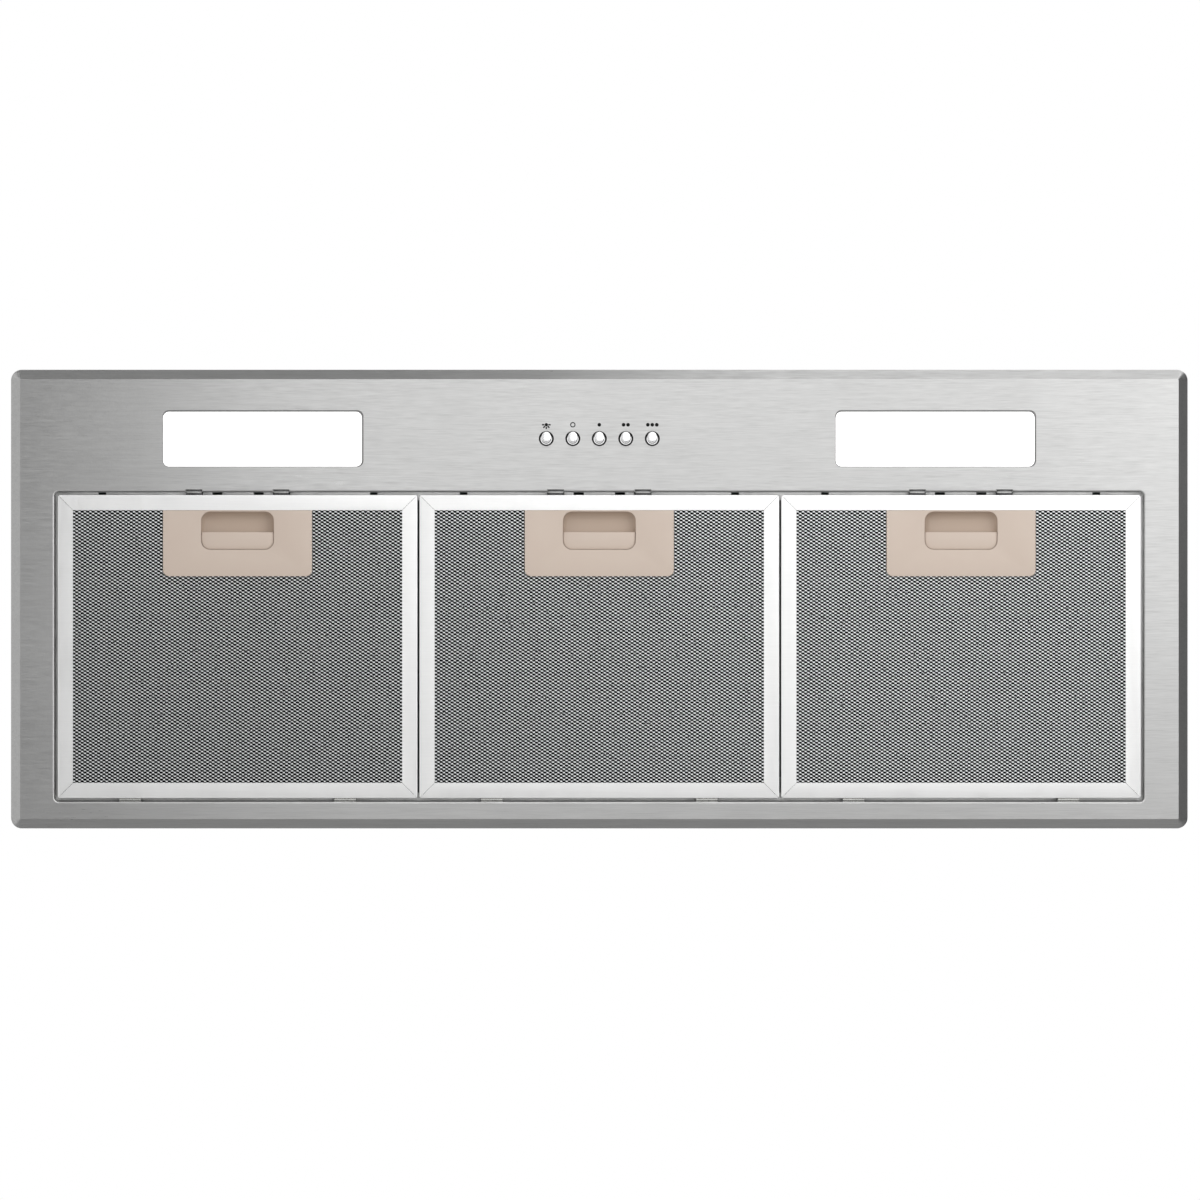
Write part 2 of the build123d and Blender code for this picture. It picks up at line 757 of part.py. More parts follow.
with BuildPart() as terminal_box_cover:
    with BuildSketch(Plane.XY.offset(terminal_low)):
        with Locations((terminal_x, terminal_y)):
            RectangleRounded(terminal_size, terminal_size, terminal_wall)
    extrude(amount=-terminal_wall)
save(terminal_box_cover, "terminal_box_cover")


# Cable gland through the roof into the terminal box: thread, hexagon, domed clamping nut and bore.
with BuildPart() as cable_gland:
    gland_low = roof_under - terminal_wall
    with BuildSketch(Plane.XY.offset(gland_low)):
        with Locations((terminal_x, terminal_y)):
            Circle(gland_thread / 2)
    extrude(amount=box_top - gland_low)
    with BuildSketch(Plane.XY.offset(box_top)):
        with Locations((terminal_x, terminal_y)):
            RegularPolygon(gland_hex_radius, 6)
    extrude(amount=gland_hex_height)
    with BuildSketch(Plane.XY.offset(box_top + gland_hex_height)):
        with Locations((terminal_x, terminal_y)):
            Circle(gland_dome_radius)
    extrude(amount=gland_nut_height, taper=gland_taper)
    with BuildSketch(Plane.XY.offset(gland_low)):
        with Locations((terminal_x, terminal_y)):
            Circle(gland_bore / 2)
    extrude(amount=box_top + gland_hex_height + gland_nut_height - gland_low, mode=Mode.SUBTRACT)
save(cable_gland, "cable_gland")


# Lamp driver screwed under the tray roof.
with BuildPart() as led_driver:
    with BuildSketch(Plane.XY.offset(tray_top - housing_sheet)):
        with Locations((driver_x, rib_centre_y)):
            RectangleRounded(driver_length + 2 * driver_ear, driver_width, case_corner)
    extrude(amount=-ear_sheet)
    with BuildSketch(Plane.XY.offset(tray_top - housing_sheet)):
        with Locations((driver_x, rib_centre_y)):
            RectangleRounded(driver_length, driver_width, case_corner)
    extrude(amount=-driver_height)
    chamfer(led_driver.faces().sort_by(Axis.Z)[0].edges(), case_bevel)
save(led_driver, "led_driver")


# Switch block behind the fascia, with a well and a square guide for each button.
with BuildPart() as switch_block:
    with BuildSketch(Plane.XY.offset(back_z)):
        with Locations((0, control_y)):
            RectangleRounded(switch_block_length, switch_block_width, case_corner)
    extrude(amount=switch_block_height)
    with BuildSketch(Plane.XY.offset(back_z)):
        with Locations((0, control_y)):
            Rectangle(switch_block_length + 2 * ear_length, ear_width)
    extrude(amount=ear_sheet)
    with BuildSketch(Plane.XY.offset(back_z)):
        with Locations(*[(sign * switch_stud, control_y) for sign in (-1, 1)]):
            Circle(stud_radius + hole_clearance)
    extrude(amount=ear_sheet, mode=Mode.SUBTRACT)
    with BuildSketch(Plane.XY.offset(back_z)):
        with Locations(*[(x, control_y) for x in button_places.values()]):
            Circle(button_diameter / 2 + 2 * button_clearance)
    extrude(amount=button_buried + button_travel + stem_clearance, mode=Mode.SUBTRACT)
    guide = button_stem + 2 * stem_clearance
    with BuildSketch(Plane.XY.offset(back_z)):
        with Locations(*[(x, control_y) for x in button_places.values()]):
            Rectangle(guide, guide)
    extrude(
        amount=button_buried + stem_length + button_travel + stem_clearance, mode=Mode.SUBTRACT
    )
save(switch_block, "switch_block")


def push_button(x):
    """Button cap with a bevelled rim and a raised crown, on a square stem."""
    radius = button_diameter / 2
    crown_radius = radius - button_bevel - button_step
    crown_curve = (crown_radius**2 + button_crown**2) / (2 * button_crown)
    crown_middle = crown_curve - sqrt(crown_curve**2 - (crown_radius / 2) ** 2)
    side_low = button_tip + button_crown + button_bevel
    with BuildPart() as button:
        with BuildSketch(Plane((x, control_y, 0), x_dir=(1, 0, 0), z_dir=(0, -1, 0))):
            with BuildLine():
                Polyline(
                    (0, button_tip),
                    (0, button_seat),
                    (radius, button_seat),
                    (radius, side_low),
                    (radius - button_bevel, side_low - button_bevel),
                    (crown_radius, side_low - button_bevel),
                )
                ThreePointArc(
                    (crown_radius, side_low - button_bevel),
                    (crown_radius / 2, button_tip + crown_middle),
                    (0, button_tip),
                )
            make_face()
        revolve(axis=Axis((x, control_y, 0), (0, 0, 1)))
        with BuildSketch(Plane.XY.offset(button_seat)):
            with Locations((x, control_y)):
                Rectangle(button_stem, button_stem)
        extrude(amount=stem_length)
    return button


for name, x in button_places.items():
    save(push_button(x), f"button_{name}")


def lamp_housing(x):
    """Box behind a lamp window, with end ribs that hold the lens down and carry the board."""
    with BuildPart() as housing:
        with BuildSketch(Plane.XY.offset(back_z)):
            with Locations((x, control_y)):
                RectangleRounded(lamp_length, lamp_width, case_corner)
        extrude(amount=lamp_height)
        with BuildSketch(Plane.XY.offset(back_z)):
            with Locations((x, control_y)):
                Rectangle(lamp_length + 2 * ear_length, ear_width)
        extrude(amount=ear_sheet)
        with BuildSketch(Plane.XY.offset(back_z)):
            with Locations((x, control_y)):
                Rectangle(lamp_length - 2 * lamp_wall, lamp_width - 2 * lamp_wall)
        extrude(amount=lamp_height - lamp_wall, mode=Mode.SUBTRACT)
        rib_x = lamp_length / 2 - lamp_wall - lamp_rib / 2
        with BuildSketch(Plane.XY.offset(back_z + lens_sheet)):
            with Locations(*[(x + sign * rib_x, control_y) for sign in (-1, 1)]):
                Rectangle(lamp_rib, lamp_width - lamp_wall)
        extrude(amount=board_height - lens_sheet)
        with BuildSketch(Plane.XY.offset(back_z)):
            with Locations(*[(x + sign * lamp_stud, control_y) for sign in (-1, 1)]):
                Circle(stud_radius + hole_clearance)
        extrude(amount=ear_sheet, mode=Mode.SUBTRACT)
    return housing


def lamp_lens(x):
    """Opal lens: a pad that fills the window on a flange behind the fascia."""
    with BuildPart() as lens:
        with BuildSketch(Plane.XY.offset(back_z)):
            with Locations((x, control_y)):
                RectangleRounded(
                    lamp_length - 2 * (lamp_wall + lamp_fit),
                    lamp_width - 2 * (lamp_wall + lamp_fit),
                    case_corner,
                )
        extrude(amount=lens_sheet)
        with BuildSketch(Plane.XY.offset(back_z)):
            with Locations((x, control_y)):
                RectangleRounded(
                    lamp_window_length - 2 * lens_clearance,
                    lamp_window_width - 2 * lens_clearance,
                    lamp_window_corner - lens_clearance,
                )
        extrude(amount=-(fascia_sheet - lens_recess))
    return lens


def lamp_board(x):
    """Lamp board resting on the end ribs, with a row of square emitters below."""
    board_z = back_z + board_height
    with BuildPart() as board:
        with BuildSketch(Plane.XY.offset(board_z)):
            with Locations((x, control_y)):
                Rectangle(lamp_length - 2 * (lamp_wall + lamp_fit), board_width)
        extrude(amount=board_sheet)
        with BuildSketch(Plane.XY.offset(board_z)):
            with Locations((x, control_y)):
                with GridLocations(lamp_window_length / led_count, 1, led_count, 1):
                    Rectangle(led_size, led_size)
        extrude(amount=-led_height)
    return board


for name, x in lamp_places.items():
    save(lamp_housing(x), f"lamp_housing_{name}")
    save(lamp_lens(x), f"lamp_lens_{name}")
    save(lamp_board(x), f"lamp_board_{name}")


# Nuts on the fascia's weld studs, over the ears of the lamps and the switch block.
with BuildPart() as mounting_nuts:
    with BuildSketch(Plane.XY.offset(back_z + ear_sheet)):
        with Locations(*stud_places):
            RegularPolygon(nut_flats_radius, 6)
            Circle(stud_radius + thread_clearance, mode=Mode.SUBTRACT)
    extrude(amount=nut_height)
save(mounting_nuts, "mounting_nuts")


def filter_plane(x, height):
    """Plane at a height over the middle of the filter that stands at x."""
    return Plane((x, opening_y, height))


def filter_frame(x):
    """Four rails of folded U channel, mitred at the corners, slotted for latch and tabs."""
    with BuildPart() as frame:
        with BuildSketch(filter_plane(x, filter_face_z)):
            RectangleRounded(filter_length, filter_width, frame_corner)
        extrude(amount=filter_depth)
        fillet(frame.faces().sort_by(Axis.Z)[0].edges(), frame_round)
        with BuildSketch(filter_plane(x, filter_inner_z)):
            Rectangle(filter_length - 2 * frame_sheet, filter_width - 2 * frame_sheet)
        extrude(amount=filter_depth - 2 * frame_sheet, mode=Mode.SUBTRACT)
        with BuildSketch(filter_plane(x, filter_face_z)):
            Rectangle(filter_length - 2 * rail_width, filter_width - 2 * rail_width)
        extrude(amount=frame_sheet, mode=Mode.SUBTRACT)
        with BuildSketch(filter_plane(x, filter_back_z)):
            Rectangle(filter_length - 2 * back_rail_width, filter_width - 2 * back_rail_width)
        extrude(amount=-frame_sheet, mode=Mode.SUBTRACT)
        slit_middle = (rail_width + mitre_left) / 2
        slit_length = (rail_width - mitre_left) * sqrt(2) + frame_sheet
        with BuildSketch(filter_plane(x, filter_face_z)):
            for sign_x, sign_y in ((-1, -1), (-1, 1), (1, -1), (1, 1)):
                corner_x = sign_x * (filter_length / 2 - slit_middle)
                corner_y = sign_y * (filter_width / 2 - slit_middle)
                with Locations((corner_x, corner_y)):
                    Rectangle(slit_length, mitre_slit, rotation=45 * sign_x * sign_y)
        extrude(amount=frame_sheet, mode=Mode.SUBTRACT)
        with BuildSketch(filter_plane(x, arm_z - slide_gap)):
            with Locations(*[(sign * nose_centre, -filter_half) for sign in (-1, 1)]):
                Rectangle(nose_width + 2 * slide_gap, 3 * frame_sheet)
        extrude(amount=slider_sheet + 2 * slide_gap, mode=Mode.SUBTRACT)
        with BuildSketch(filter_plane(x, filter_inner_z)):
            with Locations(*[(sign * tab_spacing / 2, filter_half) for sign in (-1, 1)]):
                Rectangle(tab_width + 2 * tab_clearance, 3 * frame_sheet)
        extrude(amount=tab_sheet + 2 * tab_clearance, mode=Mode.SUBTRACT)
    return frame


def filter_mesh(x):
    """Mesh pack: a face sheet, a corrugated core and a back sheet, cut out for the handle."""
    length = filter_length - 2 * (frame_sheet + mesh_side_clearance)
    front = -filter_half + frame_sheet + mesh_side_clearance
    rear = filter_half - frame_sheet - tab_sheet - mesh_side_clearance
    width = rear - front
    middle = (front + rear) / 2
    back_sheet_z = filter_back_z - frame_sheet - mesh_sheet
    core_low = filter_inner_z + mesh_sheet
    core_rise = back_sheet_z - core_low
    wave_count = int(width / wave_pitch)
    with BuildPart() as mesh:
        for height in (filter_inner_z, back_sheet_z):
            with BuildSketch(filter_plane(x, height)):
                with Locations((0, middle)):
                    Rectangle(length, width)
            extrude(amount=mesh_sheet)
        with BuildSketch(Plane((x - length / 2, opening_y, core_low), x_dir=(0, 1, 0), z_dir=(1, 0, 0))):
            for wave in range(wave_count):
                foot = front + (wave + 0.5) * width / wave_count - wave_pitch / 4
                crest = foot + wave_pitch / 2
                with BuildLine():
                    Polyline(
                        (foot - mesh_sheet, 0),
                        (foot + mesh_sheet, 0),
                        (crest + mesh_sheet, core_rise),
                        (crest - mesh_sheet, core_rise),
                        close=True,
                    )
                make_face()
        extrude(amount=length)
        with BuildSketch(filter_plane(x, filter_inner_z)):
            with Locations((0, (mesh_cut_rear - filter_half) / 2)):
                Rectangle(2 * mesh_cut_half, mesh_cut_rear + filter_half)
        extrude(amount=filter_depth, mode=Mode.SUBTRACT)
    return mesh


def filter_handle(x):
    """Moulded handle: face plate, tongue under the rail, and the housing of scoop and slider."""
    cavity_half = recess_length / 2
    housing_half = cavity_half + handle_wall
    plate_front = rail_edge + tab_clearance
    tongue_front = -filter_half + frame_sheet + mesh_side_clearance
    tongue_half = mesh_cut_half - mesh_side_clearance
    side_plane = Plane((x, opening_y, 0), x_dir=(0, 1, 0), z_dir=(1, 0, 0))
    with BuildPart() as handle:
        with BuildSketch(filter_plane(x, plate_z)):
            with Locations((0, (plate_front + handle_rear) / 2)):
                RectangleRounded(handle_length, handle_rear - plate_front, handle_corner)
            with Locations((0, plate_front + handle_corner / 2)):
                Rectangle(handle_length, handle_corner)
        extrude(amount=handle_plate)
        fillet(handle.faces().sort_by(Axis.Z)[0].edges(), handle_edge_round)
        with BuildSketch(filter_plane(x, filter_inner_z)):
            with Locations((0, (tongue_front + recess_front) / 2)):
                Rectangle(2 * tongue_half, recess_front - tongue_front)
        extrude(amount=handle_tongue)
        with BuildSketch(filter_plane(x, filter_inner_z)):
            with Locations((0, (housing_front + housing_rear) / 2)):
                Rectangle(2 * housing_half, housing_rear - housing_front)
        extrude(amount=scoop_depth + handle_wall)
        with BuildSketch(side_plane):
            with BuildLine():
                Line((recess_front, filter_inner_z), (recess_front, cavity_top - scoop_round))
                RadiusArc(
                    (recess_front, cavity_top - scoop_round),
                    (recess_front + scoop_round, cavity_top),
                    scoop_round,
                )
                Polyline(
                    (recess_front + scoop_round, cavity_top),
                    (cavity_rear, cavity_top),
                    (cavity_rear, filter_inner_z),
                    (recess_front, filter_inner_z),
                )
            make_face()
        extrude(amount=cavity_half, both=True, mode=Mode.SUBTRACT)
        with BuildSketch(filter_plane(x, plate_z)):
            with Locations((0, (recess_front + recess_rear) / 2)):
                RectangleRounded(recess_length, recess_width, recess_corner)
        extrude(amount=handle_plate, mode=Mode.SUBTRACT)
        slot_front = slider_front + slider_sheet - slide_gap
        slot_rear = slider_rear + latch_travel + slide_gap
        with BuildSketch(filter_plane(x, filter_inner_z)):
            with Locations((0, (slot_front + slot_rear) / 2)):
                Rectangle(2 * housing_half, slot_rear - slot_front)
        extrude(amount=arm_top + slide_gap - filter_inner_z, mode=Mode.SUBTRACT)
    return handle


def latch_slider(x):
    """Sliding latch: finger face with two walls, a bridge, two arms and their noses."""
    face_half = recess_length / 2 - 2 * slide_gap
    wall_top = cavity_top - slide_gap
    bridge_front = slider_front + slider_sheet
    with BuildPart() as slider:
        with BuildSketch(filter_plane(x, slider_z)):
            with Locations((0, (slider_front + slider_rear) / 2)):
                Rectangle(2 * face_half, slider_rear - slider_front)
        extrude(amount=slider_sheet)
        with BuildSketch(filter_plane(x, slider_z)):
            with Locations((0, slider_front + slider_sheet / 2), (0, slider_rear - slider_sheet / 2)):
                Rectangle(2 * face_half, slider_sheet)
        extrude(amount=wall_top - slider_z)
        with BuildSketch(filter_plane(x, arm_z)):
            with Locations((0, (bridge_front + slider_rear) / 2)):
                Rectangle(2 * arm_outer, slider_rear - bridge_front)
            for sign in (-1, 1):
                with Locations((sign * (arm_inner + arm_outer) / 2, (slider_rear + nose_tip) / 2)):
                    Rectangle(arm_width, slider_rear - nose_tip)
                with Locations((sign * nose_centre, (nose_rear + nose_tip) / 2)):
                    Rectangle(nose_width, nose_rear - nose_tip)
        extrude(amount=slider_sheet)
    return slider


def latch_spring(x):
    """Bowed leaf spring between the slider and the rear wall of the handle housing."""
    end_y = cavity_rear - 2 * spring_sheet
    crest_y = slider_rear + spring_sheet / 2
    with BuildPart() as spring:
        with BuildSketch(filter_plane(x, arm_top)):
            with BuildLine():
                ThreePointArc((-spring_span / 2, end_y), (0, crest_y), (spring_span / 2, end_y))
                offset(amount=spring_sheet, side=Side.LEFT)
            make_face()
        extrude(amount=spring_width)
    return spring


def rear_tabs(x):
    """Pair of hinge tabs, each a bent strip held in the rear rail with a bead on the hinge line."""
    leg_y = filter_half - frame_sheet - tab_sheet / 2
    tab_start = filter_half - frame_sheet - tab_sheet
    tab_end = filter_half + tab_reach
    places = [sign * tab_spacing / 2 for sign in (-1, 1)]
    with BuildPart() as tabs:
        with BuildSketch(filter_plane(x, tab_low)):
            with Locations(*[(place, (tab_start + tab_end) / 2) for place in places]):
                Rectangle(tab_width, tab_end - tab_start)
        extrude(amount=tab_sheet)
        with BuildSketch(filter_plane(x, tab_low)):
            with Locations(*[(place, leg_y) for place in places]):
                Rectangle(tab_width, tab_sheet)
        extrude(amount=tab_leg)
        for place in places:
            bead_start = x + place - tab_width / 2
            with BuildSketch(Plane((bead_start, opening_y, 0), x_dir=(0, 1, 0), z_dir=(1, 0, 0))):
                with Locations((hinge_y, hinge_z)):
                    Circle(bead_radius)
            extrude(amount=tab_width)
    return tabs


for name, x in filter_places.items():
    save(filter_frame(x), f"filter_frame_{name}")
    save(filter_mesh(x), f"filter_mesh_{name}")
    save(filter_handle(x), f"filter_handle_{name}")
    save(latch_slider(x), f"latch_slider_{name}")
    save(latch_spring(x), f"latch_spring_{name}")
    save(rear_tabs(x), f"rear_tabs_{name}")


def side_clips(side):
    """Pair of sprung clips on a short side of the tray that grip the edge of the cut-out."""
    wall = tray_length / 2
    with BuildPart() as clips:
        for place in (-clip_spacing / 2, clip_spacing / 2):
            near_end = place - clip_width / 2
            with BuildSketch(Plane((0, near_end, 0), x_dir=(side, 0, 0), z_dir=(0, -side, 0))):
                with BuildLine():
                    Polyline(
                        (wall, clip_top),
                        (wall, clip_seat),
                        (wall + clip_bulge, clip_crest),
                        (wall + clip_toe, clip_foot),
                        (wall + clip_toe + clip_sheet, clip_foot),
                        (wall + clip_bulge + 1.2 * clip_sheet, clip_crest),
                        (wall + clip_sheet, clip_seat + clip_sheet / 2),
                        (wall + clip_sheet, clip_top),
                        close=True,
                    )
                make_face()
            extrude(amount=-side * clip_width)
    return clips


save(side_clips(-1), "side_clips_left")
save(side_clips(1), "side_clips_right")


def hex_heads(plane, places):
    """Hexagon screw heads standing on a plane."""
    with BuildPart() as heads:
        with BuildSketch(plane):
            with Locations(*places):
                RegularPolygon(head_radius, 6)
        extrude(amount=head_height)
    return heads


box_screw_x = box_length / 2 + box_flange / 2
box_screw_places = [
    (sign * box_screw_x, step * (box_width / 2 - box_screw_inset)) for sign in (-1, 1) for step in (-1, 0, 1)
]
save(hex_heads(Plane.XY.offset(tray_top + housing_sheet), box_screw_places), "box_screws")

spigot_screw = spigot_base / 2 - spigot_screw_inset
spigot_screw_places = [
    (sign_x * spigot_screw, spigot_y + sign_y * spigot_screw) for sign_x in (-1, 1) for sign_y in (-1, 1)
]
save(hex_heads(Plane.XY.offset(box_top + spigot_base_sheet), spigot_screw_places), "spigot_screws")

cover_offset = terminal_size / 2 - cover_screw_inset
cover_plane = Plane((terminal_x, terminal_y, terminal_low - terminal_wall), z_dir=(0, 0, -1))
save(hex_heads(cover_plane, [(-cover_offset, -cover_offset), (cover_offset, cover_offset)]), "cover_screws")

clip_screw_z = (clip_top + clip_seat) / 2
with BuildPart() as clip_screws:
    for side in (-1, 1):
        clip_face = Plane(
            (side * (tray_length / 2 + clip_sheet), 0, clip_screw_z), x_dir=(0, 1, 0), z_dir=(side, 0, 0)
        )
        with BuildSketch(clip_face):
            with Locations((-clip_spacing / 2, 0), (clip_spacing / 2, 0)):
                RegularPolygon(head_radius, 6)
        extrude(amount=head_height)
save(clip_screws, "clip_screws")
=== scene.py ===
import json
from math import cos, pi, radians, sin, sqrt

import bpy
from mathutils import Matrix, Vector


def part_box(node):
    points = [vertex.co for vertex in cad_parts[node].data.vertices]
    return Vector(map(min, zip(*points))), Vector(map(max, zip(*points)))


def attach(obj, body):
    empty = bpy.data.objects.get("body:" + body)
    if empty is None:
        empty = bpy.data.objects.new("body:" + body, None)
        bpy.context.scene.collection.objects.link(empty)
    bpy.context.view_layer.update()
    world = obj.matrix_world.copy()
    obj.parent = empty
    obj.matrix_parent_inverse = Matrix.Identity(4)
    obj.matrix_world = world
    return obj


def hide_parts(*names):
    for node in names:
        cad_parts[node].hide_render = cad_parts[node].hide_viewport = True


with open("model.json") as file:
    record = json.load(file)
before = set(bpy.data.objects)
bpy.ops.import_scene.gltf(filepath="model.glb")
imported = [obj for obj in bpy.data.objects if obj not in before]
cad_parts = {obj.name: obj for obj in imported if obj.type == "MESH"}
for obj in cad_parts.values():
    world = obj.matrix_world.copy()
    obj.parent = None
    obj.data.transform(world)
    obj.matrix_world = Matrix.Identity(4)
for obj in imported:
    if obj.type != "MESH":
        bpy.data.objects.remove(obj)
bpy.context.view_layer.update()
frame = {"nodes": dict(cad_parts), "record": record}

bl_info = {
    "name": "Range hood insert",
    "version": (1, 0, 0),
    "blender": (4, 5, 0),
    "location": "3D View > Sidebar > Hood",
    "description": "Dresses the packed range hood insert: fascia, filters, controls, lamps and housing",
    "category": "Object",
}

filter_names = ("left", "centre", "right")
button_names = ("light", "off", "low", "mid", "high")
mm = 0.001
tiny = 1e-5

# Height of the fascia's face, and places from the middle line of the centre filter
face_height = -8 * mm
nose_offset = 28.4 * mm
tab_offset = 70 * mm
recess_side, recess_front, recess_back = 23.75 * mm, -57.1 * mm, -32.1 * mm


# --- Sizes and colours a user would change


def length_of(label, note, value):
    return bpy.props.FloatProperty(name=label, description=note, default=value, unit="LENGTH")


def colour_of(label, note, value):
    return bpy.props.FloatVectorProperty(
        name=label, description=note, default=value, subtype="COLOR", min=0, max=1
    )


class HoodSizes(bpy.types.PropertyGroup):
    rail_width: length_of("Rail width", "Visible width of the filter rails", 0.010)
    rail_sheet: length_of("Rail sheet", "Thickness of the folded rail sheet", 0.0008)
    cell_length: length_of("Mesh cell length", "Pitch of the expanded mesh along the fascia", 0.00355)
    cell_width: length_of("Mesh cell width", "Pitch of the expanded mesh across the fascia", 0.00228)
    mark_dot: length_of("Mark dot", "Diameter of the printed speed dots", 0.0024)
    camera_distance: length_of("Camera distance", "From the face down to the camera", 6.511)


class HoodColours(bpy.types.PropertyGroup):
    stainless: colour_of("Stainless", "Brushed stainless fascia", (0.60, 0.60, 0.595))
    aluminium: colour_of("Rail aluminium", "Satin filter rails", (0.95, 0.95, 0.945))
    mesh_metal: colour_of("Mesh aluminium", "Expanded mesh strands", (0.965, 0.985, 0.995))
    beige: colour_of("Handle beige", "Moulded filter handles", (0.604, 0.504, 0.427))
    housing: colour_of("Galvanised", "Galvanised housing sheet", (0.50, 0.515, 0.52))
    print_black: colour_of("Print", "Printed marks over the buttons", (0.004, 0.004, 0.004))


# --- Making and shaping meshes


def clear():
    bpy.ops.object.select_all(action="DESELECT")


def hold(piece):
    """Make a piece the only selected and the active object."""
    clear()
    piece.select_set(True)
    bpy.context.view_layer.objects.active = piece


def place_in_mesh(piece):
    """Put the piece's place, turn and scale into its mesh."""
    hold(piece)
    bpy.ops.object.transform_apply(location=True, rotation=True, scale=True)


def added(name):
    piece = bpy.context.active_object
    piece.name = name
    piece.data.name = name
    return piece


def bar(name, centre, size, turn=0):
    """Cuboid by its middle and size, turned about Z."""
    clear()
    bpy.ops.mesh.primitive_cube_add(size=1, location=centre, rotation=(0, 0, turn))
    piece = added(name)
    piece.scale = size
    place_in_mesh(piece)
    return piece


def block(name, low, high):
    """Cuboid between two corners."""
    return bar(name, [(a + b) / 2 for a, b in zip(low, high)], [b - a for a, b in zip(low, high)])


def block_mm(name, low, high):
    """Cuboid between two corners in millimetres."""
    return block(name, [v * mm for v in low], [v * mm for v in high])


def disc(name, centre, radius, depth, vertices):
    clear()
    bpy.ops.mesh.primitive_cylinder_add(vertices=vertices, radius=radius, depth=depth, location=centre)
    piece = added(name)
    place_in_mesh(piece)
    return piece


def panel(name, low, high, height):
    """Flat rectangle that faces down."""
    clear()
    middle = ((low[0] + high[0]) / 2, (low[1] + high[1]) / 2, height)
    bpy.ops.mesh.primitive_plane_add(size=1, location=middle, rotation=(pi, 0, 0))
    piece = added(name)
    piece.scale = (high[0] - low[0], high[1] - low[1], 1)
    place_in_mesh(piece)
    return piece


def choose(piece, kind, test):
    """Select faces by (centre, normal), edges by (end, end) or vertices by (place), in edit mode."""
    hold(piece)
    bpy.ops.object.mode_set(mode="EDIT")
    bpy.ops.mesh.select_mode(type=kind)
    bpy.ops.mesh.select_all(action="DESELECT")
    bpy.ops.object.mode_set(mode="OBJECT")
    mesh = piece.data
    if kind == "FACE":
        for face in mesh.polygons:
            face.select = test(face.center, face.normal)
    elif kind == "EDGE":
        for edge in mesh.edges:
            edge.select = test(*(mesh.vertices[i].co for i in edge.vertices))
    else:
        for vertex in mesh.vertices:
            vertex.select = test(vertex.co)
    bpy.ops.object.mode_set(mode="EDIT")


def done():
    bpy.ops.object.mode_set(mode="OBJECT")


def modify(piece, kind, **settings):
    """Add a modifier with these settings and apply it."""
    hold(piece)
    modifier = piece.modifiers.new(kind.title(), kind)
    for key, value in settings.items():
        setattr(modifier, key, value)
    bpy.ops.object.modifier_apply(modifier=modifier.name)


def cut(piece, *tools):
    """Take the tools' space out of the piece and delete the tools."""
    for tool in tools:
        modify(piece, "BOOLEAN", operation="DIFFERENCE", solver="EXACT", object=tool)
        bpy.data.objects.remove(tool)


def unite(piece, *others):
    for other in others:
        modify(piece, "BOOLEAN", operation="UNION", solver="EXACT", object=other)
        bpy.data.objects.remove(other)


def join(name, pieces):
    """Join pieces into one object."""
    clear()
    for piece in pieces:
        piece.select_set(True)
    bpy.context.view_layer.objects.active = pieces[0]
    bpy.ops.object.join()
    return added(name)


def soften(piece, width, angle=40, segments=2):
    """Round the sharp edges and shade the rest smooth."""
    modify(
        piece, "BEVEL", width=width, segments=segments, limit_method="ANGLE", angle_limit=radians(angle),
        use_clamp_overlap=True, harden_normals=False,
    )
    smooth(piece, angle)


def smooth(piece, angle=40):
    hold(piece)
    bpy.ops.object.shade_smooth_by_angle(angle=radians(angle))


def round_corners(piece, test, radius, segments=6):
    """Round the corners of a flat face at the vertices that pass the test."""
    choose(piece, "VERT", test)
    bpy.ops.mesh.bevel(offset=radius, segments=segments, affect="VERTICES")
    done()


def bevel_edges(piece, test, width, segments):
    """Bevel the edges whose ends pass the test."""
    choose(piece, "EDGE", test)
    bpy.ops.mesh.bevel(offset=width, segments=segments, affect="EDGES")
    done()


def round_uprights(piece, radius, segments=6):
    """Round the edges of a block that run along Z."""
    bevel_edges(
        piece, lambda a, b: abs(a.z - b.z) > tiny and (a.xy - b.xy).length < tiny / 10, radius, segments
    )


def move_points(piece, test, way):
    choose(piece, "VERT", test)
    bpy.ops.transform.translate(value=way)
    done()


def delete_faces(piece, test):
    choose(piece, "FACE", test)
    bpy.ops.mesh.delete(type="FACE")
    done()


def repeat(piece, count, step):
    """Set a row of the piece's mesh, one step apart."""
    modify(
        piece, "ARRAY", count=count, use_relative_offset=False, use_constant_offset=True,
        constant_offset_displace=step,
    )


def slab(name, low, high, base, top, test, radius, segments=8):
    """Plate between two heights, with the corners that pass the test rounded."""
    piece = panel(name, low, high, base)
    round_corners(piece, test, radius, segments)
    choose(piece, "FACE", lambda c, n: True)
    bpy.ops.mesh.extrude_region_move(TRANSFORM_OT_translate={"value": (0, 0, top - base)})
    bpy.ops.mesh.select_all(action="SELECT")
    bpy.ops.mesh.normals_make_consistent(inside=False)
    done()
    return piece


def copied(piece, name, shift):
    """A copy with its own mesh, moved in the mesh."""
    twin = piece.copy()
    twin.data = piece.data.copy()
    twin.name = name
    twin.data.name = name
    bpy.context.scene.collection.objects.link(twin)
    twin.data.transform(Matrix.Translation(shift))
    return twin


def wear(piece, material):
    piece.data.materials.clear()
    piece.data.materials.append(material)


def dress(*nodes):
    """Give carried-over CAD nodes the finish that the record's slot names."""
    slots = {part["node"]: part["material_slot"] for part in frame["record"]["subparts"]}
    for node in nodes:
        wear(frame["nodes"][node], finishes[slots[node]])


def mount(piece, body, slot, *nodes):
    """Let a piece ride on its body in place of CAD nodes; the slot argument is not used."""
    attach(piece, body)
    if nodes:
        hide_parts(*nodes)


def middle(node):
    low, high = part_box(node)
    return (low + high) / 2


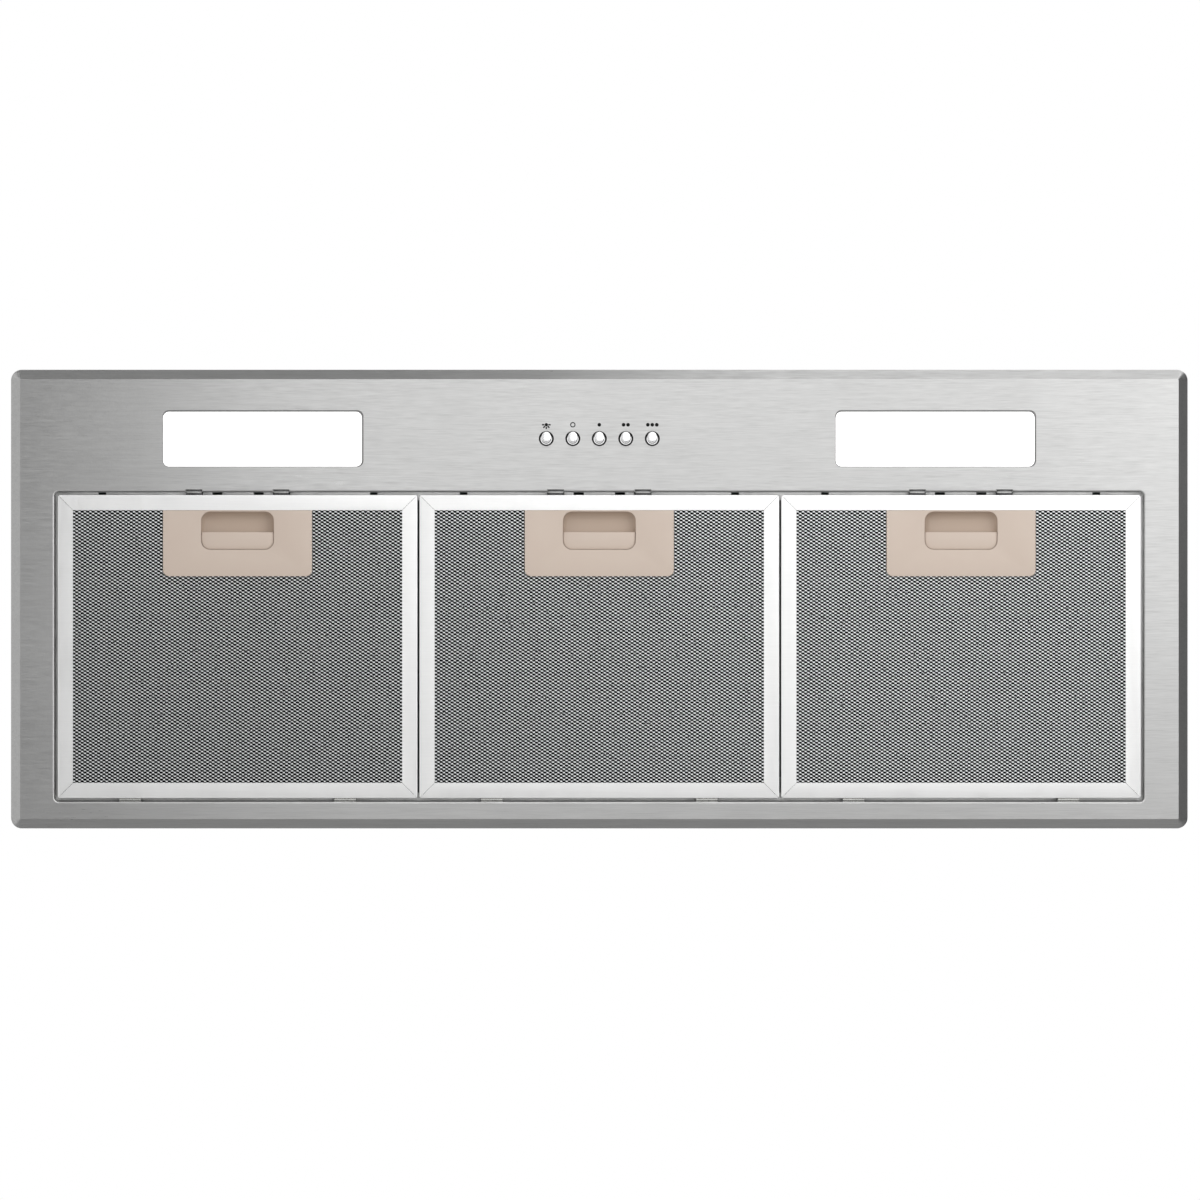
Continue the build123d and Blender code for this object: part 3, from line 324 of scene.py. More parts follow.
def share(names, model, slot, *kinds):
    """Mount the pieces modelled at one name, and a copy of each at every other name.

    A kind is a piece and the first words of its own, its node's and its body's name.
    """
    for name in names:
        for piece, label, node, body in kinds:
            made = piece
            if name != model:
                shift = middle(f"{node}_{name}") - middle(f"{node}_{model}")
                made = copied(piece, f"{label}_{name}", shift)
            mount(made, f"{body}_{name}", slot, f"{node}_{name}")


# --- Finishes


class Finish:
    """A principled material whose nodes read object coordinates in metres."""

    def __init__(self, name, colour, rough, metal=0.0):
        self.material = bpy.data.materials.new(name)
        self.material.use_nodes = True
        self.nodes = self.material.node_tree.nodes
        self.links = self.material.node_tree.links
        self.shader = self.nodes["Principled BSDF"]
        self.shader.inputs["Metallic"].default_value = metal
        self.shader.inputs["Roughness"].default_value = rough
        self.shader.inputs["Base Color"].default_value = (*colour, 1)
        self.material.diffuse_color = (*colour, 1)
        self.place = self.add("ShaderNodeTexCoord").outputs["Object"]
        self.base = colour
        self.colour = self.rough = self.height = None

    def add(self, kind, **values):
        node = self.nodes.new(kind)
        for key, value in values.items():
            setattr(node, key, value)
        return node

    def texture(self, kind, scale, **settings):
        """Outputs of a texture with this many cells per metre, or as many along each axis."""
        node = self.add(kind)
        mapping = self.add("ShaderNodeMapping")
        mapping.inputs["Scale"].default_value = scale if isinstance(scale, tuple) else (scale,) * 3
        self.links.new(self.place, mapping.inputs["Vector"])
        self.links.new(mapping.outputs["Vector"], node.inputs["Vector"])
        for key, value in (("Scale", 1.0), *settings.items()):
            node.inputs[key].default_value = value
        return node.outputs

    def noise(self, scale, detail=3.0, roughness=0.55):
        return self.texture("ShaderNodeTexNoise", scale, Detail=detail, Roughness=roughness)["Fac"]

    def cells(self, scale, output="Color"):
        return self.texture("ShaderNodeTexVoronoi", scale)[output]

    def axes(self):
        """The place split into its X, Y and Z."""
        split = self.add("ShaderNodeSeparateXYZ")
        self.links.new(self.place, split.inputs["Vector"])
        return split.outputs

    def spread(self, value, low, high, start=0.3, end=0.7):
        """Map a value's start to end range onto low to high."""
        node = self.add("ShaderNodeMapRange")
        node.inputs["From Min"].default_value = start
        node.inputs["From Max"].default_value = end
        node.inputs["To Min"].default_value = low
        node.inputs["To Max"].default_value = high
        self.links.new(value, node.inputs["Value"])
        return node.outputs["Result"]

    def math(self, operation, first, second=None):
        node = self.add("ShaderNodeMath", operation=operation)
        for socket, value in zip(node.inputs, (first, second)):
            if isinstance(value, (int, float)):
                socket.default_value = value
            elif value is not None:
                self.links.new(value, socket)
        return node.outputs["Value"]

    def tint(self, factor, colour):
        """Mix the colour so far with another by a factor."""
        node = self.add("ShaderNodeMix", data_type="RGBA")
        self.links.new(factor, node.inputs["Factor"])
        if self.colour is None:
            node.inputs["A"].default_value = (*self.base, 1)
        else:
            self.links.new(self.colour, node.inputs["A"])
        node.inputs["B"].default_value = (*colour, 1)
        self.colour = node.outputs["Result"]

    def vary_rough(self, value):
        self.rough = value if self.rough is None else self.math("ADD", self.rough, value)

    def raise_by(self, value, metres):
        """Add a value to the surface height, with the height that 1 stands for."""
        part = self.math("MULTIPLY", value, metres)
        self.height = part if self.height is None else self.math("ADD", self.height, part)

    def edges(self, radius=0.0006):
        """1 along the sharp edges and 0 elsewhere: the mask of the painted edge highlights."""
        bevel = self.add("ShaderNodeBevel", samples=4)
        bevel.inputs["Radius"].default_value = radius
        geometry = self.add("ShaderNodeNewGeometry")
        dot = self.add("ShaderNodeVectorMath", operation="DOT_PRODUCT")
        self.links.new(bevel.outputs["Normal"], dot.inputs[0])
        self.links.new(geometry.outputs["Normal"], dot.inputs[1])
        return self.spread(dot.outputs["Value"], 1, 0, 0.80, 0.99)

    def finish(self):
        """Join what was mixed so far to the shader, and give the material."""
        if self.colour is not None:
            self.links.new(self.colour, self.shader.inputs["Base Color"])
        if self.rough is not None:
            self.links.new(self.rough, self.shader.inputs["Roughness"])
        if self.height is not None:
            bump = self.add("ShaderNodeBump")
            bump.inputs["Strength"].default_value = 1.0
            bump.inputs["Distance"].default_value = 1.0
            self.links.new(self.height, bump.inputs["Height"])
            self.links.new(bump.outputs["Normal"], self.shader.inputs["Normal"])
        return self.material


def shade(colour, share):
    """A colour times one share, or times one for each channel."""
    shares = share if isinstance(share, tuple) else (share,) * 3
    return tuple(min(1.0, c * s) for c, s in zip(colour, shares))


def brushed_steel(name, colour):
    """Sheet metal brushed along the fascia, with streaks, faint blotches and a painted highlight along
    the edges.
    """
    rough = 0.34
    f = Finish(name, colour, rough, 1.0)
    streak = f.noise((85, 1500, 1500), 2.0)
    band = f.noise((28, 520, 520), 2.0)
    blotch = f.noise(7, 3.0)
    f.tint(f.spread(streak, 0, 0.9), shade(colour, 0.80))
    f.tint(f.spread(band, 0, 0.5), shade(colour, 1.12))
    f.tint(f.spread(blotch, 0, 0.35), shade(colour, 0.95))
    # Painted highlight along the edges
    f.tint(f.math("MULTIPLY", f.edges(0.0005), 0.5), shade(colour, 1.3))
    f.vary_rough(f.spread(streak, rough - 0.06, rough + 0.07))
    f.vary_rough(f.spread(blotch, -0.02, 0.03))
    f.raise_by(streak, 0.000004)
    f.raise_by(band, 0.000003)
    f.shader.inputs["Anisotropic"].default_value = 0.6
    tangent = f.add("ShaderNodeCombineXYZ")
    tangent.inputs["Y"].default_value = 1.0
    f.links.new(tangent.outputs["Vector"], f.shader.inputs["Tangent"])
    return f.finish()


def satin_aluminium(name, colour):
    """Bright anodised rail with a fine drawn grain both ways and soft scuffs."""
    f = Finish(name, colour, 0.42, 0.85)
    grain_x = f.noise((40, 1400, 1400), 2.0)
    grain_y = f.noise((1400, 40, 1400), 2.0)
    scuff = f.noise(60, 4.0, 0.7)
    f.tint(f.spread(grain_x, 0, 0.35), shade(colour, 0.93))
    f.tint(f.spread(scuff, 0, 0.4, 0.45, 0.75), shade(colour, 0.92))
    f.vary_rough(f.spread(grain_y, 0.38, 0.48))
    f.vary_rough(f.spread(scuff, -0.03, 0.06))
    f.raise_by(grain_x, 0.000003)
    f.raise_by(scuff, 0.00001)
    return f.finish()


def mesh_metal(name, colour):
    """Expanded aluminium whose strands differ a little from one to the next."""
    f = Finish(name, colour, 0.30, 0.65)
    strand = f.noise((420, 620, 420), 1.0)
    patch = f.noise(30, 3.0)
    f.tint(f.spread(strand, 0, 0.35), shade(colour, 0.88))
    f.tint(f.spread(patch, 0, 0.3), shade(colour, 0.94))
    f.vary_rough(f.spread(strand, 0.27, 0.35))
    f.raise_by(f.noise(2500, 2.0), 0.000002)
    return f.finish()


def core_in_painted_shade(name):
    """Inner layers of the filter: dull metal coloured nearly black as painted shade, pricked by finer
    holes.
    """
    colour = (0.010, 0.010, 0.011)
    f = Finish(name, colour, 0.65, 0.6)
    holes = f.cells((520, 800, 520), "Distance")
    f.tint(f.spread(holes, 0.5, 0, 0.3, 0.6), (0.004, 0.004, 0.005))
    f.tint(f.spread(f.noise(45, 3.0), 0, 0.5), (0.017, 0.016, 0.016))
    f.vary_rough(f.spread(holes, 0.55, 0.75, 0.1, 0.6))
    f.raise_by(holes, 0.0002)
    return f.finish()


def moulded(name, colour, rough=0.42, grain=0.00002, second=None, edge_highlight=1.12):
    """Moulded plastic with a fine spark-eroded grain, soft tone shifts and a painted highlight along the
    edges.
    """
    f = Finish(name, colour, rough)
    fine = f.noise(2600, 2.0)
    cloud = f.noise(55, 4.0, 0.6)
    wide = f.noise(14, 3.0)
    f.tint(f.spread(cloud, 0, 0.55), shade(colour, 0.94) if second is None else second)
    f.tint(f.spread(wide, 0, 0.4), shade(colour, 1.05))
    # Painted highlight: paler along the edges
    f.tint(f.math("MULTIPLY", f.edges(0.0005), 0.5), shade(colour, edge_highlight))
    f.vary_rough(f.spread(cloud, rough - 0.05, rough + 0.07))
    f.vary_rough(f.spread(fine, -0.03, 0.03))
    f.raise_by(fine, grain)
    f.raise_by(cloud, 0.00004)
    return f.finish()


def handle_plastic_painted_shade(name, colour):
    """The handle moulding, with painted shade that darkens its scoop deeper in and most at the front, and
    a painted highlight along its edges.
    """
    f = Finish(name, colour, 0.40)
    fine = f.noise(2600, 2.0)
    cloud = f.noise(55, 4.0, 0.6)
    place = f.axes()
    # Masks of the painted shade: how deep into the scoop, and how near its front wall
    depth = f.spread(place["Z"], 0, 1, -0.0058, -0.0010)
    front = f.spread(place["Y"], 1, 0, -0.0570, -0.0440)
    f.tint(f.spread(cloud, 0, 0.5), shade(colour, (0.965, 0.935, 0.94)))
    f.tint(f.spread(f.noise(14, 3.0), 0, 0.35), shade(colour, 1.04))
    # Painted shade: darker deeper in the scoop, darker and warmer again towards its front
    f.tint(depth, shade(colour, (0.84, 0.80, 0.76)))
    f.tint(f.math("MULTIPLY", depth, front), shade(colour, (0.72, 0.66, 0.60)))
    # Painted highlight along the edges
    f.tint(f.math("MULTIPLY", f.edges(0.0004), 0.35), shade(colour, 1.1))
    f.vary_rough(f.spread(cloud, 0.35, 0.47))
    f.vary_rough(f.spread(fine, -0.03, 0.03))
    f.raise_by(fine, 0.000012)
    f.raise_by(cloud, 0.00003)
    return f.finish()


def weld_spots(f, pitch, height):
    """1 on the spot welds along a seam, by their pitch along each axis and the seam's height."""
    place = f.axes()
    rise = f.math("SUBTRACT", place["Z"], height)
    spots = None
    for axis in "XY":
        along = f.math("SUBTRACT", f.math("PINGPONG", place[axis], pitch / 2), pitch / 4)
        squares = f.math("ADD", f.math("MULTIPLY", along, along), f.math("MULTIPLY", rise, rise))
        away = f.math("SQRT", squares)
        spot = f.spread(away, 1, 0, 0.0018, 0.0026)
        spots = spot if spots is None else f.math("MAXIMUM", spots, spot)
    return spots


def galvanised(name, colour, seam=None):
    """Galvanised sheet: crystal spangle, dull patches, a painted highlight along the edges and weld spots
    along a seam.
    """
    f = Finish(name, colour, 0.45, 0.85)
    crystals = f.add("ShaderNodeSeparateColor")
    f.links.new(f.cells(85), crystals.inputs["Color"])
    tone = crystals.outputs["Red"]
    feather = f.noise((160, 900, 300), 2.0)
    cloud = f.noise(9, 4.0, 0.6)
    f.tint(f.spread(tone, 0, 0.55, 0.0, 1.0), shade(colour, 0.76))
    f.tint(f.spread(feather, 0, 0.25), shade(colour, 1.15))
    f.tint(f.spread(cloud, 0, 0.45), shade(colour, 0.85))
    # Painted highlight along the edges
    f.tint(f.math("MULTIPLY", f.edges(0.0007), 0.7), shade(colour, 1.45))
    f.vary_rough(f.spread(crystals.outputs["Green"], 0.34, 0.52, 0.0, 1.0))
    f.vary_rough(f.spread(cloud, -0.02, 0.08))
    f.raise_by(tone, 0.000010)
    f.raise_by(f.noise(1200, 2.0), 0.000006)
    if seam is not None:
        spots = weld_spots(f, *seam)
        f.tint(f.math("MULTIPLY", spots, f.spread(cloud, 0.15, 0.45)), shade(colour, 0.62))
        f.raise_by(spots, -0.00012)
    return f.finish()


def plated(name, colour, rough=0.3, depth=0.00001):
    """Small plated or ground steel parts, with fine scratches and a painted highlight along the edges."""
    f = Finish(name, colour, rough, 1.0)
    scratch = f.noise((2200, 260, 1200), 2.0)
    cloud = f.noise(120, 3.0)
    f.tint(f.spread(cloud, 0, 0.5), shade(colour, 0.80))
    # Painted highlight along the edges
    f.tint(f.math("MULTIPLY", f.edges(0.0004), 0.6), shade(colour, 1.35))
    f.vary_rough(f.spread(scratch, rough - 0.07, rough + 0.12))
    f.raise_by(scratch, depth)
    return f.finish()


def chromed(name):
    """Satin chrome on the button caps, with a faint haze of fingerprints."""
    colour = (0.86, 0.86, 0.865)
    f = Finish(name, colour, 0.2, 1.0)
    haze = f.noise(300, 4.0, 0.65)
    f.tint(f.spread(haze, 0, 0.3), shade(colour, 0.92))
    f.vary_rough(f.spread(haze, 0.14, 0.27))
    f.raise_by(f.noise(1800, 2.0), 0.000004)
    return f.finish()


def opal(name):
    """Lit opal diffuser: white, slightly mottled, glossy on the outside."""
    colour = (0.93, 0.93, 0.92)
    f = Finish(name, colour, 0.3)
    mottle = f.noise(200, 3.0)
    f.tint(f.spread(mottle, 0, 0.3), shade(colour, 0.97))
    f.vary_rough(f.spread(mottle, 0.26, 0.36))
    f.raise_by(f.noise(1500, 2.0), 0.00001)
    f.shader.inputs["Emission Color"].default_value = (1, 1, 0.99, 1)
    f.shader.inputs["Emission Strength"].default_value = 0.9
    return f.finish()


def enamel(name, colour):
    """Stoved enamel with a slight orange peel."""
    f = Finish(name, colour, 0.32)
    peel = f.noise(420, 2.0)
    dust = f.noise(30, 5.0, 0.7)
    f.tint(f.spread(dust, 0, 0.5, 0.45, 0.75), shade(colour, 1.9))
    # Painted highlight: a grey line along the edges
    f.tint(f.math("MULTIPLY", f.edges(0.0006), 0.5), (0.35, 0.35, 0.35))
    f.vary_rough(f.spread(dust, 0.27, 0.45))
    f.raise_by(peel, 0.00003)
    f.shader.inputs["Coat Weight"].default_value = 0.3
    return f.finish()


def printed(name, colour):
    """Screen-printed ink, a little thinner in places."""
    f = Finish(name, colour, 0.5)
    f.tint(f.spread(f.noise(1500, 3.0), 0, 0.6), shade(colour, 2.5))
    f.vary_rough(f.spread(f.noise(2500, 2.0), 0.5, 0.65))
    f.shader.inputs["Specular IOR Level"].default_value = 0.15
    return f.finish()


finishes = {}


def make_finishes(colours):
    """Every finish, once, by the record's material slots and a few of the scene's own."""
    finishes.update(
        stainless=brushed_steel("brushed_stainless", colours.stainless),
        galvanised=galvanised("galvanised_sheet", colours.housing),
        welded_tray=galvanised("galvanised_tray_with_welds", colours.housing, (0.070, 0.055)),
        welded_box=galvanised("galvanised_box_with_welds", colours.housing, (0.060, 0.214)),
        lens_rim=moulded("dull_lens_rim", (0.22, 0.22, 0.22), 0.5),
        filter_aluminium=satin_aluminium("satin_rail_aluminium", colours.aluminium),
        filter_mesh=mesh_metal("expanded_aluminium", colours.mesh_metal),
        core=core_in_painted_shade("filter_core_painted_shade"),
        beige_plastic=handle_plastic_painted_shade("beige_handle_painted_shade", colours.beige),
        spring_steel=plated("spring_steel_strip", (0.52, 0.52, 0.50), 0.28),
        latch_steel=plated("dull_latch_steel", (0.50, 0.50, 0.495), 0.45),
        zinc=plated("zinc_plate", (0.66, 0.66, 0.60), 0.33),
        chromed=chromed("satin_chrome"),
        opal=opal("lit_opal_lens"),
        white_plastic=moulded("white_case_plastic", (0.72, 0.72, 0.70), 0.45),
        black_plastic=moulded(
            "black_moulded_plastic", (0.022, 0.022, 0.024), 0.45, second=(0.03, 0.03, 0.032), edge_highlight=2.2
        ),
        grey_plastic=moulded("grey_moulded_plastic", (0.13, 0.135, 0.14), 0.48, edge_highlight=1.5),
        motor_enamel=enamel("stoved_motor_enamel", (0.030, 0.033, 0.036)),
        bright_steel=plated("ground_shaft_steel", (0.62, 0.62, 0.62), 0.2),
        rubber_black=moulded("grommet_rubber", (0.018, 0.018, 0.018), 0.75, 0.00004, edge_highlight=1.6),
        board_white=moulded("board_mask", (0.75, 0.77, 0.74), 0.35, 0.00001),
        print_black=printed("printed_mark_ink", colours.print_black),
    )


# --- Pieces


class HOOD_OT_finishes(bpy.types.Operator):
    """Mix the procedural finishes of every sheet, moulding and fixing"""

    bl_idname = "hood.finishes"
    bl_label = "Finishes"

    def execute(self, context):
        make_finishes(context.scene.hood_colours)
        return {"FINISHED"}


class HOOD_OT_fascia(bpy.types.Operator):
    """Brush the stainless fascia along its length"""

    bl_idname = "hood.fascia"
    bl_label = "Fascia"

    def execute(self, context):
        dress("fascia_panel")
        return {"FINISHED"}


class HOOD_OT_housing(bpy.types.Operator):
    """Galvanise the tray and the blower box, with their rows of spot welds"""

    bl_idname = "hood.housing"
    bl_label = "Housing"

    def execute(self, context):
        dress("outlet_spigot", "flap_front", "flap_rear")
        wear(frame["nodes"]["housing_tray"], finishes["welded_tray"])
        wear(frame["nodes"]["blower_box"], finishes["welded_box"])
        return {"FINISHED"}


class HOOD_OT_blower(bpy.types.Operator):
    """Finish the scroll, the fan wheel and its motor"""

    bl_idname = "hood.blower"
    bl_label = "Blower"

    def execute(self, context):
        dress(
            "scroll_wrap", "scroll_side_left", "scroll_side_right", "fan_wheel", "motor_shaft",
            "motor_body", "motor_bracket", "motor_grommets",
        )
        return {"FINISHED"}


class HOOD_OT_electrics(bpy.types.Operator):
    """Finish the terminal box, capacitor, lamp driver, gland and switch block"""

    bl_idname = "hood.electrics"
    bl_label = "Electrics"

    def execute(self, context):
        dress(
            "capacitor", "terminal_box", "terminal_box_cover", "cable_gland", "led_driver",
            "switch_block", "lamp_housing_left", "lamp_housing_right", "lamp_board_left",
            "lamp_board_right",
        )
        return {"FINISHED"}


class HOOD_OT_fixings(bpy.types.Operator):
    """Plate the screws and nuts, and finish the side clips, latch springs and hinge tabs"""

    bl_idname = "hood.fixings"
    bl_label = "Fixings"

    def execute(self, context):
        dress(
            "spigot_screws", "box_screws", "cover_screws", "mounting_nuts", "clip_screws",
            "side_clips_left", "side_clips_right",
            *(f"{part}_{name}" for part in ("rear_tabs", "latch_spring") for name in filter_names),
        )
        return {"FINISHED"}


class HOOD_OT_lamps(bpy.types.Operator):
    """Mould the lit lamp lenses, each a raised pad on a dull rim"""

    bl_idname = "hood.lamps"
    bl_label = "Lamp lenses"

    def execute(self, context):
        low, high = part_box("lamp_lens_left")
        centre = (low + high) / 2
        half_x, half_y = 65.05 * mm, 18.15 * mm
        rim_low, pad_top, corner = -7.18 * mm, -7.0 * mm, 3.9 * mm
        rim = block("lamp_rim", (low.x, low.y, rim_low), high)
        soften(rim, 0.3 * mm, 50)
        wear(rim, finishes["lens_rim"])
        pad = slab(
            "lamp_pad", (centre.x - half_x, centre.y - half_y + 0.75 * mm),
            (centre.x + half_x - 0.7 * mm, centre.y + half_y), low.z, pad_top, lambda v: True, corner, 10,
        )
        soften(pad, 0.12 * mm, 50)
        wear(pad, finishes["opal"])
        lens = join("lamp_diffuser_left", [pad, rim])
        twin = copied(lens, "lamp_diffuser_right", middle("lamp_lens_right") - centre)
        mount(lens, "hood", "opal", "lamp_lens_left")
        mount(twin, "hood", "opal", "lamp_lens_right")
        return {"FINISHED"}


class HOOD_OT_filter_rest(bpy.types.Operator):
    """Fold the narrow ledge behind the edges of the filter opening"""

    bl_idname = "hood.filter_rest"
    bl_label = "Filter rest"

    def execute(self, context):
        behind, sheet = 0.5 * mm, 0.4 * mm
        gap, lap = 1.85 * mm, 3.5 * mm
        low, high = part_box("filter_frame_left")
        low = Vector((low.x, low.y, high.z + behind))
        high = Vector((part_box("filter_frame_right")[1].x, high.y, high.z + behind + sheet))
        rest = block("filter_rest_ledge", low - Vector((gap, gap, 0)), high + Vector((gap, gap, 0)))
        round_uprights(rest, 2.2 * mm, 5)
        past = Vector((-lap, -lap, 1 * mm))
        opening = block("ledge_opening", low - past, high + past)
        slots = []
        slot_front, slot_back = low.y - 1.6 * mm, low.y + 0.8 * mm
        slot_places = ((13.5 * mm, 6.5 * mm), (nose_offset, 11 * mm), (88.5 * mm, 5 * mm))
        for name in filter_names:
            x = middle(f"filter_frame_{name}").x
            for side in (-1, 1):
                for offset, width in slot_places:
                    slot_x = x + side * offset
                    slots.append(
                        block(
                            "ledge_slot", (slot_x - width / 2, slot_front, low.z - past.z),
                            (slot_x + width / 2, slot_back, high.z + past.z),
                        )
                    )
        cut(rest, opening, join("ledge_slots", slots))
        soften(rest, 0.12 * mm, 50)
        wear(rest, finishes["filter_aluminium"])
        mount(rest, "hood", "stainless")
        return {"FINISHED"}


class HOOD_OT_filter_rails(bpy.types.Operator):
    """Fold the mitred rails round each filter"""

    bl_idname = "hood.filter_rails"
    bl_label = "Filter rails"

    def execute(self, context):
        sizes = context.scene.hood_sizes
        low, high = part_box("filter_frame_centre")
        centre = (low + high) / 2
        half_x, half_y = (high.x - low.x) / 2, (high.y - low.y) / 2
        rail, sheet, back_rail = sizes.rail_width, sizes.rail_sheet, 8 * mm
        rails = block("filter_rails_centre", low, high)
        round_uprights(rails, 1.5 * mm, 6)
        fold = 0.6 * mm
        bevel_edges(rails, lambda a, b: max(a.z, b.z) < low.z + tiny, fold, 4)
        bevel_edges(rails, lambda a, b: min(a.z, b.z) > high.z - tiny, fold, 3)
        inner = Vector((sheet, sheet, sheet))
        hollow = block("rail_hollow", low + inner, high - inner)
        round_uprights(hollow, 0.7 * mm, 4)
        windows = [
            block(name, (low.x + lap, low.y + lap, bottom), (high.x - lap, high.y - lap, top))
            for name, lap, bottom, top in (
                ("front_window", rail, low.z - sheet, low.z + 2 * sheet),
                ("back_window", back_rail, high.z - 2 * sheet, high.z + sheet),
            )
        ]
        cut(rails, hollow, *windows)
        slits = []
        reach, slit_width = rail * 0.5 + 0.4 * mm, 0.18 * mm
        for sign_x in (-1, 1):
            for sign_y in (-1, 1):
                corner = (
                    centre.x + sign_x * (half_x - reach), centre.y + sign_y * (half_y - reach), low.z
                )
                size = (1.36 * rail, slit_width, 3 * sheet)
                slits.append(bar("mitre_slit", corner, size, sign_x * sign_y * pi / 4))
        nose_half, tab_half, out = 5.3 * mm, 7.2 * mm, 1 * mm
        nose_low, nose_high, tab_low, tab_high = -5.2 * mm, -3.0 * mm, -6.2 * mm, -5.0 * mm
        for sign in (-1, 1):
            nose, tab = sign * nose_offset, sign * tab_offset
            slits += [
                block(
                    "nose_slot", (nose - nose_half, low.y - out, nose_low),
                    (nose + nose_half, low.y + 1.5 * sheet, nose_high),
                ),
                block(
                    "tab_slot", (tab - tab_half, high.y - 1.5 * sheet, tab_low),
                    (tab + tab_half, high.y + out, tab_high),
                ),
            ]
        cut(rails, join("rail_cutters", slits))
        soften(rails, 0.12 * mm, 50)
        wear(rails, finishes["filter_aluminium"])
        kind = (rails, "filter_rails", "filter_frame", "filter")
        share(filter_names, "centre", "filter_aluminium", kind)
        return {"FINISHED"}


def filter_core(low, high, handle_low, handle_high):
    """The corrugated core of a mesh pack, with a fence round the handle's pocket, both in the core's
    nearly black painted shade.
    """
    end_gap, rise, amplitude, fold_length = 0.5 * mm, 1.2 * mm, 4.6 * mm, 14 * mm
    core = panel("filter_core", (low.x, low.y + end_gap), (high.x, high.y - end_gap), low.z + rise)
    folds = 2 * int((high.y - low.y) / fold_length)
    pitch = (high.y - low.y) / folds
    for fold in range(1, folds):
        choose(core, "FACE", lambda c, n: True)
        bpy.ops.mesh.bisect(plane_co=(0, low.y + fold * pitch, 0), plane_no=(0, 1, 0))
        done()
    move_points(core, lambda v: round((v.y - low.y) / pitch) % 2 == 1, (0, 0, amplitude))
    modify(core, "SOLIDIFY", thickness=0.4 * mm, offset=-1)

    def around(name, gap, front, bottom, top):
        """Block round the handle, open at its front edge."""
        far = (handle_high.x + gap, handle_high.y + gap, top)
        return block(name, (handle_low.x - gap, front, bottom), far)

    through, ahead = 20 * mm, low.y - 5 * mm
    cut(core, around("handle_pocket", 0.75 * mm, ahead, -through, through))
    fence = around("pocket_fence", 0.7 * mm, low.y + 0.6 * mm, low.z + end_gap, high.z - end_gap)
    cut(fence, around("fence_inside", 0.1 * mm, ahead, -through, through))
    core = join("filter_mesh_core_centre", [core, fence])
    smooth(core, 20)
    # Nearly black painted shade on the core and its fence
    wear(core, finishes["core"])
    return core


class HOOD_OT_filter_mesh(bpy.types.Operator):
    """Expand the mesh sheets of each filter, with the corrugated core between them"""

    bl_idname = "hood.filter_mesh"
    bl_label = "Filter mesh"

    def execute(self, context):
        sizes = context.scene.hood_sizes
        low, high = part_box("filter_frame_centre")
        sheet_low, sheet_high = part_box("filter_mesh_centre")
        handle_low, handle_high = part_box("filter_handle_centre")
        centre = (low + high) / 2
        cell_x, cell_y = sizes.cell_length / 2, sizes.cell_width / 2

        # One cell: a diamond that reaches 1 from its middle, round a leaning oval hole
        origin = (0, 0, 0)
        hole, hole_turn, half_relief = (1.49, 1.37, 1), radians(-16), 0.2 * mm
        clear()
        bpy.ops.mesh.primitive_circle_add(vertices=8, radius=1, fill_type="NGON", rotation=(pi, 0, 0))
        sheet = added("filter_mesh_front_centre")
        place_in_mesh(sheet)
        choose(sheet, "VERT", lambda v: abs(v.x) > 0.3 and abs(v.y) > 0.3)
        bpy.ops.transform.resize(value=(sqrt(0.5), sqrt(0.5), 1), center_override=origin)
        done()
        choose(sheet, "FACE", lambda c, n: True)
        bpy.ops.mesh.inset(thickness=0.3)
        bpy.ops.transform.tosphere(value=1.0, center_override=origin)
        bpy.ops.transform.resize(value=hole, center_override=origin)
        bpy.ops.transform.rotate(value=hole_turn, orient_axis="Z", center_override=origin)
        bpy.ops.mesh.delete(type="ONLY_FACE")
        done()
        rim = 0.86
        for side, way in ((1, (0, 0, 0.15 * mm)), (-1, (0, 0, -0.13 * mm))):
            move_points(
                sheet,
                lambda v: abs(v.x) + abs(v.y) < 0.95 and side * v.y > 0.2 and v.xy.length < rim, way,
            )

        # Rows of cells, and the same again half a cell on
        sheet.scale = (cell_x, cell_y, 1)
        covered = 18.5 * mm
        columns = int((high.x - low.x - covered) / (2 * cell_x)) + 2
        rows = int((high.y - low.y - covered) / (2 * cell_y)) + 2
        sheet.location = (
            centre.x - (columns - 1) * cell_x, centre.y - (rows - 1) * cell_y, sheet_low.z + half_relief
        )
        place_in_mesh(sheet)
        repeat(sheet, columns, (2 * cell_x, 0, 0))
        repeat(sheet, rows, (0, 2 * cell_y, 0))
        choose(sheet, "FACE", lambda c, n: True)
        bpy.ops.mesh.duplicate_move(TRANSFORM_OT_translate={"value": (cell_x, cell_y, 0)})
        done()
        edge = 1.5 * mm
        edge_x, edge_y = (high.x - low.x) / 2 - edge, (high.y - low.y) / 2 - edge
        choose(sheet, "FACE", lambda c, n: abs(c.x - centre.x) > edge_x or abs(c.y - centre.y) > edge_y)
        bpy.ops.mesh.delete(type="FACE")
        bpy.ops.mesh.select_all(action="SELECT")
        bpy.ops.mesh.remove_doubles(threshold=0.03 * mm)
        done()
        smooth(sheet, 25)
        wear(sheet, finishes["filter_mesh"])

        # The back sheet, and the room for the handle in both
        depth = sheet_high.z - sheet_low.z - 2 * half_relief
        back = copied(sheet, "filter_mesh_back_centre", (0, 0, depth))
        plate_x, plate_y = handle_high.x - 2 * mm, handle_high.y - 2 * mm
        body_x, body_y = 26 * mm, handle_high.y + 0.6 * mm
        delete_faces(sheet, lambda c, n: abs(c.x) < plate_x and c.y < plate_y)
        delete_faces(back, lambda c, n: abs(c.x) < body_x and c.y < body_y)

        core = filter_core(sheet_low, sheet_high, handle_low, handle_high)
        kinds = [
            (piece, f"filter_mesh_{part}", "filter_mesh", "filter")
            for piece, part in ((sheet, "front"), (back, "back"), (core, "core"))
        ]
        share(filter_names, "centre", "filter_mesh", *kinds)
        return {"FINISHED"}


